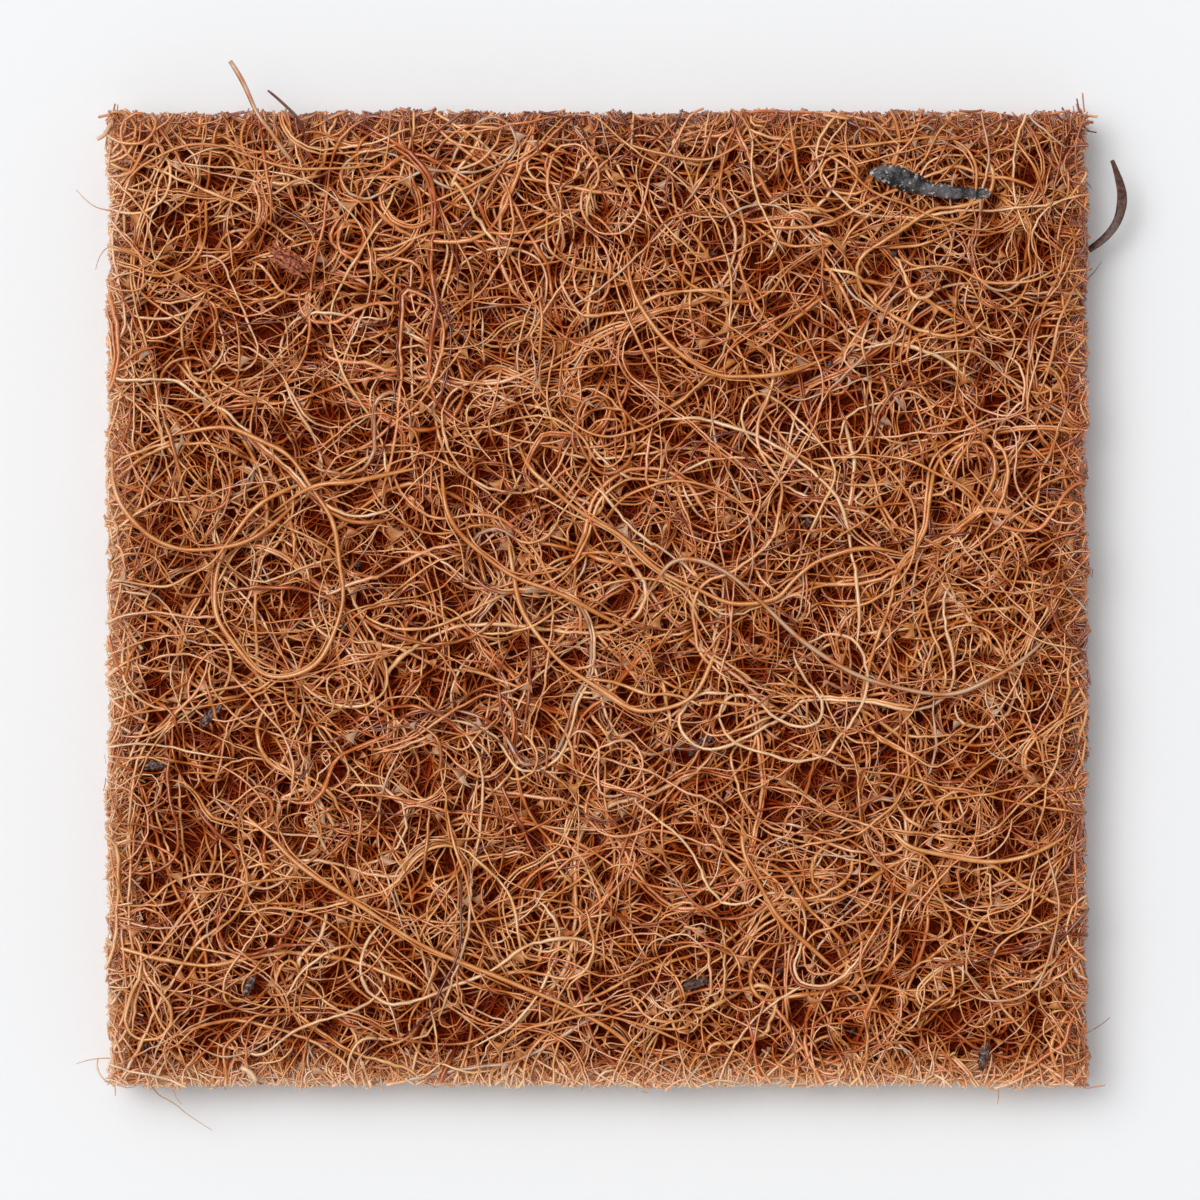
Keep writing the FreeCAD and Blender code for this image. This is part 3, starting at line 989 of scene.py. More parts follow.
FACE_ROUTES = {
    "ring_fibre": Route([
        (-45.5, 16.5), (-41, 17.5), (-36.5, 17.5), (-32.5, 15.5), (-29.5, 12.5), (-27, 8),
        (-26, 3.5), (-26, -1.5), (-28, -6.5), (-32, -8.5), (-36, -6.5), (-38.5, -2.5), (-39.4, 1),
        (-38, 5.2), (-35.4, 9), (-32, 11.4), (-28, 12.6)], COARSE),
    "ring_lead_fibre": Route([
        (-33, 9), (-29, 12), (-23.5, 12), (-18, 13.5)], COARSE, lay=2),
    "left_bowl_fibre": Route([
        (-49.5, 15), (-49.5, 11.5), (-47, 7), (-42.5, 5), (-37.5, 5), (-33, 7.5), (-30, 10.5)],
        COARSE, lay=1),
    "left_low_fibre": Route([
        (-49.5, 2), (-45.5, 1), (-41.5, 2), (-38.5, 4.5), (-36, 8)], lay=2),
    "centre_diagonal_fibre": Route([
        (-8, 16), (-7, 13.5), (-4, 10.5), (1, 7.5), (5, 4), (9.5, 1), (14, -0.5), (18, -0.5),
        (20.5, 2.5), (23.5, 4.5), (27.5, 5.5), (31.5, 4.5)], COARSE),
    "centre_bowl_fibre": Route([
        (-9, 8), (-9, 4), (-8, -0.5), (-5.5, -5), (-1, -8.5), (3.5, -11.5), (8, -11.5),
        (11.5, -8), (13, -3)], COARSE),
    "centre_arch_fibre": Route([
        (0.5, 7.5), (2.5, 10.5), (6, 12), (10.5, 12), (14.5, 10.5), (17.5, 6.5)], lay=1),
    "upper_bowl_fibre": Route([
        (-4.5, 20.5), (-2.5, 17.5), (1.5, 16.5), (5.5, 17.5), (8.5, 20)]),
    "long_grey_fibre": Route([
        (4.5, -0.5), (6.5, 3), (9.5, 4.5), (13, 3), (17, -0.5), (22, -5.5), (28, -8.5), (34, -10),
        (39.5, -9), (43.5, -6), (47, -3)], COARSE, lay=1, husk=Husk.GREY),
    "left_hook_fibre": Route([
        (-16, 14.5), (-16, 10.5), (-14, 6.5), (-10, 3), (-5, 1), (0.5, -1.5), (4, -3.5)],
        COARSE, lay=1),
    "right_ring_fibre": Route([
        (20.5, 14), (25, 15), (29.5, 14), (32, 10.5), (33, 6), (30.5, 1), (26.5, -1), (22, -0.5)]),
    "right_bundle_fibre": Route([
        (26, 15), (31, 14.5), (36, 12.5), (39.5, 9.5), (42.5, 5.5)], lay=1),
    "right_hem_fibre": Route([
        (43.5, 11), (45, 9), (48, 9.5), (50, 10.5)]),
    "crown_fibre": Route([
        (-49.5, 39.5), (-48, 44), (-43.5, 46), (-39, 47), (-35, 45), (-30, 44), (-24.5, 44),
        (-20, 45.5)]),
    "crown_dark_fibre": Route([
        (-35.5, 42), (-31.5, 39.5), (-28, 37.5), (-25, 34.5)], husk=Husk.DARK),
    "twin_fibre_left": Route([
        (1.5, 34.5), (2.5, 30), (4.5, 25.5), (7.5, 21)], lay=1),
    "twin_fibre_right": Route([
        (3, 35.5), (3.5, 31.5), (5.5, 28), (9.5, 24), (14, 22.5), (19, 23), (24, 25)], COARSE, lay=1),
    "upper_hook_fibre": Route([
        (-5, 41), (-5.5, 37), (-3.5, 34), (0, 34), (3.5, 32.5)]),
    "top_wave_fibre": Route([
        (0.5, 48), (4.5, 46), (9.5, 45), (14, 45.5), (17.5, 49)]),
    "top_rake_fibre": Route([
        (-17.5, 45.5), (-13, 43.5), (-8.5, 40.5)]),
    "upper_drop_fibre": Route([
        (-6.5, 34.5), (-5.5, 30.5), (-6, 26), (-5.5, 21)]),
    "under_bark_fibre": Route([
        (21, 47), (24.5, 45), (28.5, 41.5), (33.5, 39.5), (37, 38.5), (39, 40)]),
    "right_arch_fibre": Route([
        (29, 33), (33, 34.5), (37.5, 33.5), (41.5, 32), (46, 33), (49.5, 36)]),
    "right_edge_fibre": Route([
        (49.5, 34), (47.5, 30), (46.5, 25.5), (45, 20.5)], lay=1),
    "corner_drop_fibre": Route([
        (41, 49.5), (43.5, 46.5), (45.5, 42), (47, 37.5)]),
    "low_left_diagonal_fibre": Route([
        (-38.5, -20.5), (-34, -23.5), (-30.5, -27.5), (-25.5, -30.5), (-20.5, -34), (-15, -37),
        (-8, -39.5), (-1.5, -42.5), (3, -45), (5, -48)], COARSE),
    "low_left_arch_fibre": Route([
        (-42.5, -30), (-38, -30), (-33.5, -28.5), (-30, -28.5)], lay=1),
    "low_left_straw_fibre": Route([
        (-50, -35.5), (-45, -35), (-40.5, -36)]),
    "low_left_loop_fibre": Route([
        (-38, -35.5), (-35.5, -32), (-31, -31.5), (-26.5, -33.5), (-23.5, -37)]),
    "low_drop_fibre": Route([
        (-15.5, -20.5), (-14.5, -25.5), (-13, -30), (-12, -34.5), (-9, -39)], lay=1),
    "low_dark_fibre": Route([
        (-14, -27.5), (-13.5, -32.5), (-14.5, -37.5), (-17, -42.5), (-20, -45)], lay=2, husk=Husk.DARK),
    "low_arch_fibre": Route([
        (-11, -47.5), (-8.5, -44.5), (-4, -43), (1, -42.5), (6, -44), (10.5, -46.5)], lay=1),
    "low_right_long_fibre": Route([
        (15, -20.5), (14.5, -25.5), (17, -30.5), (21, -35.5), (26, -39.5)], COARSE),
    "low_right_bowl_fibre": Route([
        (29, -20.5), (30, -24.5), (35, -26.5), (41, -27), (46, -26), (49.5, -23)], COARSE),
    "low_right_grey_fibre": Route([
        (45.5, -24.5), (47, -29.5), (47, -35), (44, -41), (39.5, -41.5), (37, -40)],
        lay=1, husk=Husk.GREY),
    "low_right_rake_fibre": Route([
        (35.5, -26.5), (31.5, -30), (27.5, -34.5), (26.5, -39), (29, -42.5)], lay=1),
    "low_right_tail_fibre": Route([
        (38.5, -39), (34, -41), (30, -45.5)]),
    "stray_top_fibre": Route([
        (-31, 45), (-33.5, 47.5), (-35, 51), (-37.5, 55)], COARSE, lay=1, husk=Husk.PALE),
    "stray_dark_fibre": Route([
        (-29.5, 46.5), (-30, 48.5), (-31.5, 50.5), (-33.5, 52)], lay=1, husk=Husk.DARK),
    "stray_corner_fibre": Route([
        (-49, 49.5), (-50, 48), (-51, 47)], COARSE, husk=Husk.PALE),
}


@dataclass
class FaceFibres:
    """The forty fibres that curl over the top face, each a piece of its own."""

    pad: PadBlock
    loom: Loom
    lay_gap: float = 0.05
    lift: float = 0.55
    dip: float = 1.7
    rise: float = 0.2
    spacing: float = 0.55
    sway: float = 0.12
    sway_run: float = 1.3
    rim_paleness: float = 0.6
    stoutness: float = 0.84
    unevenness: float = 0.1
    blunt_ends: tuple = (0.5, 0.85)
    taper_points: int = 10
    tone_spread: float = 0.06
    hair_starts: tuple = (0, 0.5)
    hair_runs: tuple = (0.3, 0.5)
    hair_meets: tuple = (0.3, 0.7)
    hair_fans: tuple = (2, 9)
    hair_gap: float = 0.27
    hair_spread: float = 1.6
    hair_wave: float = 0.08
    hair_turns: float = 17
    hair_end_dip: float = 0.8
    hair_dips: tuple = (0.0, 0.2)
    hair_half_widths: tuple = (0.07, 0.11)
    hair_tones: float = 0.12
    seed: int = 23

    def build(self) -> list[Strand]:
        """Lay every fibre of the face and return the strands."""
        rng = np.random.default_rng(self.seed)
        laid = []
        for name, route in FACE_ROUTES.items():
            line = self._line(route, rng)
            strands = [self._strand(line, route, rng)]
            if route.width == COARSE and route.husk is Husk.BROWN:
                strands += self._companions(line, route, rng)
            self.loom.lay(f"{name}_strand", strands, route.husk.slot, [name])
            laid += strands
        return laid

    def _line(self, route: Route, rng: np.random.Generator) -> np.ndarray:
        """Bend a route's line up and down through the tangle."""
        level = self.pad.top + self.lift + COARSE / 2 + route.lay * (COARSE + self.lay_gap)
        places = []
        last = len(route.places) - 1
        for index, (x, y) in enumerate(route.places):
            ends_here = index in (0, last) and not self._is_free(x, y)
            height = level + rng.uniform(-1, 1) * self.rise - (self.dip if ends_here else 0)
            places.append((x, y, height))
        points = self.pad.line(places)
        count = len(points)
        along = np.arange(count) * self.spacing
        phase = rng.uniform(0, 2 * math.pi, 4)
        for axis in range(2):
            points[:, axis] += self.sway * np.sin(along / self.sway_run + phase[axis])
        return points

    def _strand(self, points: np.ndarray, route: Route, rng: np.random.Generator) -> Strand:
        """Give the main fibre of a route its widths and colour."""
        count = len(points)
        place = np.arange(count)
        uneven = self.unevenness * np.sin(place / 4 + rng.uniform(0, 6))
        widths = route.width / 2 * (self.stoutness + uneven)
        from_end = np.minimum(place, place[::-1])
        blunt = self.blunt_ends[self._is_free(*route.places[-1])]
        widths = widths * np.clip(blunt + from_end / self.taper_points, 0, 1)
        tone = route.husk.tone + rng.normal(0, self.tone_spread)
        # Paler towards and past the pad's cut sides.
        rim_pale = np.clip(self.pad.outside(points) / 3 + 0.2, 0, self.rim_paleness)
        if route.husk is Husk.DARK:
            rim_pale = rim_pale * 0
        return closed_strand(points, widths, tone, route.husk.coat, rim_pale)

    def _companions(self, points: np.ndarray, route: Route,
                    rng: np.random.Generator) -> list[Strand]:
        """Draw two hairs that cling to the main fibre for part of its way."""
        side = sideways(points)
        found = []
        for hand in (-1.0, 1.0):
            first = int(rng.uniform(*self.hair_starts) * len(points))
            last = first + int(rng.uniform(*self.hair_runs) * len(points))
            share = np.linspace(0, 1, last - first)
            fan = self.hair_spread * np.abs(share - rng.uniform(*self.hair_meets)) ** 3
            away = self.hair_gap + fan * rng.uniform(*self.hair_fans)
            swing = hand * (away + self.hair_wave * np.sin(share * self.hair_turns + hand))
            body = points[first:last] + side[first:last] * swing[:, None]
            sunk = self.hair_end_dip * np.abs(2 * share - 1) ** 4
            body[:, 2] -= rng.uniform(*self.hair_dips) + sunk
            widths = np.full(len(body), rng.uniform(*self.hair_half_widths))
            tone = route.husk.tone + rng.normal(0, self.hair_tones)
            found.append(closed_strand(body, widths, tone))
        return found

    @staticmethod
    def _is_free(x: float, y: float) -> bool:
        """Whether a place is past the pad's sides."""
        return max(abs(x), abs(y)) > 50


# --- Slivers, strips, hairs, webs and crumbs ---

RIBBON_CUTS = {"x_subdivisions": 56, "y_subdivisions": 12}
RIBBON_RIM = 0.12


def ribbon(name: str, line: np.ndarray, half_width: np.ndarray, crown: np.ndarray,
           twist: np.ndarray, thick: float) -> bpy.types.Object:
    """Bend a flat grid along a line and give it a thickness.

    Args:
        name: the piece's name.
        line: points along the middle, in millimetres.
        half_width: half the width at each point.
        crown: how high the middle stands over the rims at each point.
        twist: turn about the line at each point, in radians.
        thick: thickness, in millimetres.

    Returns:
        The piece, in metres, with a "rim" attribute that rises to 1 at its edges.
    """
    piece = primitive(bpy.ops.mesh.primitive_grid_add, name, size=2, **RIBBON_CUTS)
    mesh = piece.data
    places = np.array([vertex.co for vertex in mesh.vertices])
    share, across = (places[:, 0] + 1) / 2, places[:, 1]
    at = np.linspace(0, 1, len(line))
    ahead = np.gradient(line, axis=0)
    ahead /= np.linalg.norm(ahead, axis=1, keepdims=True)
    side = np.cross((0.0, 0.0, 1.0), ahead)
    side /= np.linalg.norm(side, axis=1, keepdims=True)
    upward = np.cross(ahead, side)
    turned = side * np.cos(twist)[:, None] + upward * np.sin(twist)[:, None]
    risen = upward * np.cos(twist)[:, None] - side * np.sin(twist)[:, None]
    reach = np.interp(share, at, half_width) * across
    height = np.interp(share, at, crown) * np.sqrt(np.clip(1 - across ** 2, 0, 1))
    moved = np.stack([np.interp(share, at, line[:, axis])
                      + reach * np.interp(share, at, turned[:, axis])
                      + height * np.interp(share, at, risen[:, axis])
                      for axis in range(3)], axis=1)
    mesh.vertices.foreach_set("co", (moved * MM).ravel())
    rim = mesh.attributes.new("rim", "FLOAT", "POINT")
    near_end = np.clip(1 - np.minimum(share, 1 - share) / RIBBON_RIM, 0, 1)
    edge = np.maximum(np.abs(across) ** 3, near_end)
    rim.data.foreach_set("value", edge.astype(np.float32))
    apply_modifier(piece, "SOLIDIFY", thickness=thick * MM, offset=-1.0)
    bpy.ops.object.shade_smooth()
    return piece


@dataclass
class BarkSliver:
    """A glossy black sliver of husk bark that lies over the fibres."""

    pad: PadBlock
    place: tuple = (34.0, 42.5)
    turn: float = -8.0
    length: float = 12.6
    height: float = 0.5
    thick: float = 0.35
    shares: tuple = (0.0, 0.04, 0.1, 0.2, 0.33, 0.47, 0.6, 0.75, 0.9, 1.0)
    drift: tuple = (0.3, 0.4, 0.45, 0.3, -0.05, -0.4, -0.5, -0.4, -0.2, -0.1)
    half_width: tuple = (0.3, 0.7, 0.95, 1.2, 1.25, 0.95, 0.75, 0.6, 0.7, 0.3)
    points: int = 60
    wave: float = 0.18
    crown: float = 0.55
    twist: float = 0.25
    lump_size: float = 0.8
    lump: float = 0.5

    def build(self) -> None:
        """Model the sliver."""
        share = np.linspace(0, 1, self.points)
        drift = np.interp(share, self.shares, self.drift)
        along = (share - 0.5) * self.length
        angle = math.radians(self.turn)
        middle = self.pad.at(*self.place)
        x = middle[0] + along * math.cos(angle) - drift * math.sin(angle)
        y = middle[1] + along * math.sin(angle) + drift * math.cos(angle)
        z = self.pad.top + self.height + self.wave * np.sin(share * 5.5 + 0.6)
        widths = np.interp(share, self.shares, self.half_width)
        piece = ribbon("bark_leaf", np.stack([x, y, z], axis=1), widths, widths * self.crown,
                       self.twist * np.sin(share * 4), self.thick)
        apply_modifier(piece, "SUBSURF", levels=1, render_levels=1)
        lumpy(piece, clouds("bark_lumps", self.lump_size, 3), self.lump * MM)
        piece.data.materials.append(BarkFinish().make())
        seat(piece)
        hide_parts("bark_sliver")


@dataclass
class HuskPieces:
    """The flat strip that curls out of the right side, and the flaky chip on the face."""

    pad: PadBlock
    strip_route: tuple = ((49.0, 35.2, 4.1), (51.0, 36.2, 4.2), (53.3, 38.4, 4.5),
                          (54.0, 41.0, 4.9), (53.6, 43.2, 5.3), (52.8, 45.2, 5.6))
    strip_width: float = 1.0
    strip_thick: float = 0.2
    chip_route: tuple = ((-33.4, 35.6, 8.6), (-31.8, 34.9, 9.0), (-30.6, 34.2, 8.8),
                         (-29.4, 33.4, 8.4))
    chip_layers: tuple = ((-0.62, 0.0, 0.75, 0.5), (0.05, 0.16, 0.95, -0.35),
                          (0.66, 0.05, 0.7, -0.9))
    chip_thick: float = 0.16
    lump_size: float = 0.45
    lump: float = 0.4

    def build(self) -> None:
        """Model both pieces."""
        dark = HuskFinish("husk_strip_skin", rgb(58, 34, 30), rgb(112, 70, 56))
        red = HuskFinish("husk_chip_skin", rgb(104, 40, 22), rgb(202, 112, 74), 0.28)
        self._strip(dark.make())
        self._chip(red.make())

    def _strip(self, material: bpy.types.Material) -> None:
        """Model the strip: a ribbon that narrows to a point and turns on its way."""
        line = self.pad.line(self.strip_route)
        share = np.linspace(0, 1, len(line))
        profile = np.interp(share, (0, 0.3, 0.6, 0.85, 1), (0.6, 0.85, 1.05, 0.85, 0.5))
        widths = self.strip_width / 2 * profile * (1 + 0.05 * np.sin(share * 11))
        piece = ribbon("husk_ribbon", line, widths, 0.1 * profile, -0.55 + 0.9 * share,
                       self.strip_thick)
        self._close(piece, material, "husk_strip")

    def _chip(self, material: bpy.types.Material) -> None:
        """Model the chip: three torn flakes that lie over one another."""
        line = self.pad.line(self.chip_route)
        share = np.linspace(0, 1, len(line))
        flakes = []
        for number, (aside, above, width, twist) in enumerate(self.chip_layers):
            torn = 1 + 0.2 * np.sin(share * 21 + number) + 0.12 * np.sin(share * 43 + 2 * number)
            ends = np.clip(np.minimum(share, 1 - share) * (5 + number), 0.2, 1)
            place = line + (0.5 * aside, 0.85 * aside, above)
            flakes.append(ribbon("husk_flake", place, width / 2 * torn * ends, 0.2 * torn,
                                 twist - 0.6 * share, self.chip_thick))
        select_only(flakes[0])
        for flake in flakes[1:]:
            flake.select_set(True)
        bpy.ops.object.join()
        piece = flakes[0]
        piece.name = "husk_flake"
        lumpy(piece, clouds("flake_lumps", self.lump_size, 3), self.lump * MM)
        self._close(piece, material, "husk_chip")

    @staticmethod
    def _close(piece: bpy.types.Object, material: bpy.types.Material, node: str) -> None:
        """Dress a husk piece and let it stand for its node."""
        piece.data.materials.append(material)
        seat(piece)
        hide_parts(node)


@dataclass
class EdgeHairs:
    """Thin hairs that stand out of the cut sides, with their heights in millimetres."""

    pad: PadBlock
    loom: Loom
    width: float = 0.13
    taper: tuple = (1.2, 0.45)
    tone: float = 0.3
    coat: float = 0.5
    routes: tuple = (
        ((-49, 39.8, 6.8), (-50.5, 40, 6.8), (-52, 40.6, 6.9), (-53.3, 42.1, 7.0)),
        ((-49.5, 36.5, 4.1), (-51, 36.5, 4.1), (-51.5, 34, 4.3)),
        ((-49, -47.5, 4.1), (-51.5, -47.2, 4.1), (-53.5, -48, 4.0)),
        ((-46, -49.5, 4.1), (-45.6, -51, 4.1), (-43.5, -52, 3.9), (-42, -53.4, 3.6),
         (-39.6, -54.9, 3.4)),
        ((-43.5, -49.5, 6.8), (-43.5, -51, 6.8), (-42.5, -52, 6.5)),
        ((41, -49.5, 6.8), (41.2, -51, 6.7), (41, -52, 6.4)),
        ((49.5, -44.8, 6.8), (51, -44.4, 6.8), (52.5, -43, 6.9)),
        ((49.5, 32.5, 1.4), (51, 33.2, 1.5), (52, 35, 2.0)),
        ((-1.5, -49.5, 1.4), (-1.4, -50.4, 1.5), (-1.6, -51, 1.7)),
        ((49.5, 43.8, 1.4), (50.5, 43.4, 1.5), (51, 42.5, 1.8)),
    )

    def build(self) -> None:
        """Lay the hairs as one piece."""
        strands = []
        for route in self.routes:
            line = self.pad.line(route)
            widths = self.width / 2 * np.linspace(*self.taper, len(line))
            strands.append(closed_strand(line, widths, self.tone, self.coat))
        self.loom.lay("fringe_hairs", strands, "pale_fibre", ["edge_hairs"])


@dataclass
class Stamps:
    """Copies of one small modelled shape, joined as one piece."""

    master: bpy.types.Object

    def lay(self, name: str, origins: np.ndarray, axes: np.ndarray,
            material: bpy.types.Material, slot: str, node: str = "") -> None:
        """Set the copies out and remove the shape they came from.

        Args:
            name: the piece's name.
            origins: middle of each copy, in millimetres.
            axes: three axes of each copy, whose lengths are its sizes.
            material: the finish.
            slot: the record's material slot; not used.
            node: the CAD node that the piece replaces, if any.
        """
        shape = np.array([vertex.co for vertex in self.master.data.vertices])
        faces = [tuple(face.vertices) for face in self.master.data.polygons]
        placed = np.einsum("vi,nij->nvj", shape, axes) + origins[:, None, :]
        step = len(shape)
        copied = [tuple(corner + number * step for corner in face)
                  for number in range(len(origins)) for face in faces]
        mesh = bpy.data.meshes.new(name)
        mesh.from_pydata((placed.reshape(-1, 3) * MM).tolist(), [], copied)
        piece = bpy.data.objects.new(name, mesh)
        bpy.context.collection.objects.link(piece)
        bpy.data.objects.remove(self.master)
        edit_whole(piece, bpy.ops.mesh.normals_make_consistent, inside=False)
        bpy.ops.object.shade_smooth()
        mesh.materials.append(material)
        seat(piece)
        if node:
            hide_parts(node)
        log.info("%s: %d copies", name, len(origins))


@dataclass
class LatexWebs:
    """Webs of dried latex where fibres cross."""

    pad: PadBlock
    places: tuple = (
        (-8.5, 38), (-14, 37), (-44, 36), (-22, 31.5), (42.5, 38.5), (26.5, 35), (36, 30.5),
        (-43, -27), (2, -39.5), (-9.5, -23), (39, 13), (40.5, -13), (41, -31), (-20, 5), (22, 27),
    )
    joints: int = 2200
    apart: float = 0.7
    reach: float = 0.34
    size: float = 1.05
    size_spread: float = 0.46
    largest: float = 1.9
    large_sizes: tuple = (1.8, 2.8)
    large_lift: float = 0.15
    draw_in: float = 2.8
    thickness: tuple = (0.09, 0.03)
    second_shares: tuple = (0.5, 1.0)
    depth: float = 1.0
    inset: float = 1.6
    least_cross: float = 0.35
    seed: int = 47

    def build(self, strands: Sequence[Strand]) -> None:
        """Lay the fifteen large webs, then the small ones, all at real crossings."""
        rng = np.random.default_rng(self.seed)
        latex = LatexFinish().make()
        middles, firsts, seconds = self._crossings(strands, rng)
        chosen = [self._nearest(middles, x, y) for x, y in self.places]
        sizes = rng.uniform(*self.large_sizes, len(chosen))
        axes = self._axes(firsts[chosen], seconds[chosen], sizes, rng)
        lifted = middles[chosen] + (0, 0, self.large_lift)
        Stamps(self._web()).lay("latex_webs", lifted, axes, latex, "latex", "latex_films")
        sizes = self.size * np.exp(rng.normal(0, self.size_spread, len(middles)))
        sizes = np.minimum(sizes, self.largest)
        axes = self._axes(firsts, seconds, sizes, rng)
        Stamps(self._web()).lay("latex_joints", middles, axes, latex, "latex")

    def _web(self) -> bpy.types.Object:
        """Model one web: a thin sail between two fibres, with a drawn-in free edge."""
        web = primitive(bpy.ops.mesh.primitive_grid_add, "web", x_subdivisions=6,
                        y_subdivisions=1, size=2.0)
        for vertex in web.data.vertices:
            turn = (vertex.co.x + 1) * math.pi / 4
            out = (vertex.co.y + 1) / 2
            vertex.co = (out * math.cos(turn) ** self.draw_in,
                         out * math.sin(turn) ** self.draw_in, 0.0)
        edit_whole(web, bpy.ops.mesh.remove_doubles, threshold=0.001)
        apply_modifier(web, "SOLIDIFY", thickness=1.0, offset=0.0)
        return web

    def _nearest(self, middles: np.ndarray, x: float, y: float) -> int:
        """Find the crossing nearest to a place given in percent of the pad."""
        return int(np.argmin(np.linalg.norm(middles[:, :2] - self.pad.at(x, y), axis=1)))

    def _axes(self, firsts: np.ndarray, seconds: np.ndarray, sizes: np.ndarray,
              rng: np.random.Generator) -> np.ndarray:
        """Turn the directions of crossing fibres into the axes of webs."""
        narrow = np.sign(np.sum(firsts * seconds, axis=1, keepdims=True) + 1e-9)
        hand = rng.choice([-1.0, 1.0], (len(firsts), 1))
        first = firsts * hand * sizes[:, None]
        shares = rng.uniform(*self.second_shares, (len(firsts), 1))
        second = seconds * hand * narrow * sizes[:, None] * shares
        heights = self.thickness[0] + self.thickness[1] * sizes
        thick = np.stack([0 * sizes, 0 * sizes, heights], axis=1)
        return np.stack([first, second, thick], axis=1)

    def _crossings(self, strands: Sequence[Strand], rng: np.random.Generator) -> tuple:
        """Find places near the face where two fibres cross.

        Args:
            strands: the fibres of the face.
            rng: the draws.

        Returns:
            The middles, and the direction of each of the two fibres.
        """
        points = np.concatenate([s.points[1:-1] for s in strands])
        ahead = np.concatenate([np.gradient(s.points[1:-1], axis=0) for s in strands])
        ahead /= np.linalg.norm(ahead, axis=1, keepdims=True) + 1e-9
        owner = np.repeat(np.arange(len(strands)), [len(s.points) - 2 for s in strands])
        in_reach = points[:, 2] > self.pad.top - self.depth
        in_reach &= self.pad.outside(points) < -self.inset
        points, ahead, owner = points[in_reach], ahead[in_reach], owner[in_reach]
        tree = KDTree(len(points))
        for index, point in enumerate(points):
            tree.insert(point, index)
        tree.balance()
        found: list[tuple] = []
        middles = np.empty((self.joints, 3))
        for index in rng.permutation(len(points)):
            if len(found) == self.joints:
                break
            place = points[index]
            apart = np.sum((middles[:len(found)] - place) ** 2, axis=1)
            if len(found) and apart.min() < self.apart ** 2:
                continue
            for _, other, _ in tree.find_range(place, self.reach):
                cross = ahead[index][0] * ahead[other][1] - ahead[index][1] * ahead[other][0]
                if owner[other] != owner[index] and abs(cross) > self.least_cross:
                    middles[len(found)] = (place + points[other]) / 2
                    found.append((ahead[index], ahead[other]))
                    break
        directions = np.array(found)
        return middles[:len(found)], directions[:, 0], directions[:, 1]


@dataclass
class PithSpecks:
    """Crumbs of coir pith caught in the face."""

    pad: PadBlock
    places: tuple = ((-45, -17, 10), (-35.5, -39.5, 70), (10.5, -15, 35), (10, -39.5, 15),
                     (39.5, -47, 80), (-39.5, -12, 45))
    size: tuple = (1.45, 0.5, 0.3)
    crumbs: int = 110
    crumb_size: float = 0.2
    crumb_spread: float = 0.35
    crumb_shape: tuple = (1.4, 1.0, 0.7)
    crumb_depth: float = 0.6
    crumb_sink: float = 0.5
    inset: float = 2
    seed: int = 61

    def build(self) -> None:
        """Lay the six large specks, then the small crumbs."""
        rng = np.random.default_rng(self.seed)
        pith = PithFinish().make()
        origins = np.array([(*self.pad.at(x, y), self.pad.top) for x, y, _ in self.places])
        axes = np.array([self._axes(math.radians(turn), self.size) for _, _, turn in self.places])
        Stamps(self._crumb(4)).lay("pith_lumps", origins, axes, pith, "pith", "pith_specks")
        spots = rng.uniform(-1, 1, (self.crumbs, 3))
        spots *= (self.pad.half_x - self.inset, self.pad.half_y - self.inset, self.crumb_depth)
        spots[:, 2] += self.pad.top - self.crumb_sink
        sizes = np.exp(rng.normal(math.log(self.crumb_size), self.crumb_spread, self.crumbs))
        axes = np.array([self._axes(rng.uniform(0, 6), np.multiply(self.crumb_shape, size))
                         for size in sizes])
        Stamps(self._crumb(2)).lay("pith_dust", spots, axes, pith, "pith")

    @staticmethod
    def _axes(turn: float, size: tuple) -> tuple:
        """The three axes of a crumb turned about the upright."""
        return ((math.cos(turn) * size[0], math.sin(turn) * size[0], 0),
                (-math.sin(turn) * size[1], math.cos(turn) * size[1], 0),
                (0, 0, size[2]))

    @staticmethod
    def _crumb(detail: int) -> bpy.types.Object:
        """Model one crumb: a ball pushed into lumps."""
        crumb = primitive(bpy.ops.mesh.primitive_ico_sphere_add, "crumb", subdivisions=detail,
                          radius=1.0)
        lumps = bpy.data.textures.new("crumb_lumps", "CLOUDS")
        lumps.noise_scale = 0.7
        lumpy(crumb, lumps, 0.9)
        return crumb


# --- The tangle ---

@dataclass
class BattCore:
    """The packed, latex-bonded heart of the pad, under the loose fibres: a dark slab that stands in as
    painted shade inside the pad and keeps light from passing through the tangle.
    """

    pad: PadBlock
    inset: float = 2.6
    floor: float = 1.0
    top: float = 5.4
    lump: float = 1.2
    lump_size: float = 2.4
    cuts: int = 70

    def build(self) -> None:
        """Model the heart as a lumpy felted slab."""
        core = primitive(bpy.ops.mesh.primitive_cube_add, "shaded_batt_core", size=MM,
                         location=(0, 0, (self.floor + self.top) / 2 * MM))
        core.scale = (2 * (self.pad.half_x - self.inset), 2 * (self.pad.half_y - self.inset),
                      self.top - self.floor)
        bpy.ops.object.transform_apply(location=True, rotation=False, scale=True)
        edit_whole(core, bpy.ops.mesh.subdivide, number_cuts=self.cuts)
        lumpy(core, clouds("batt_lumps", self.lump_size), self.lump * MM)
        bpy.ops.object.shade_smooth()
        core.data.materials.append(BattShadeFinish().make())
        seat(core)
        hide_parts("core_ply")
        log.info("shaded_batt_core: %d faces", len(core.data.polygons))


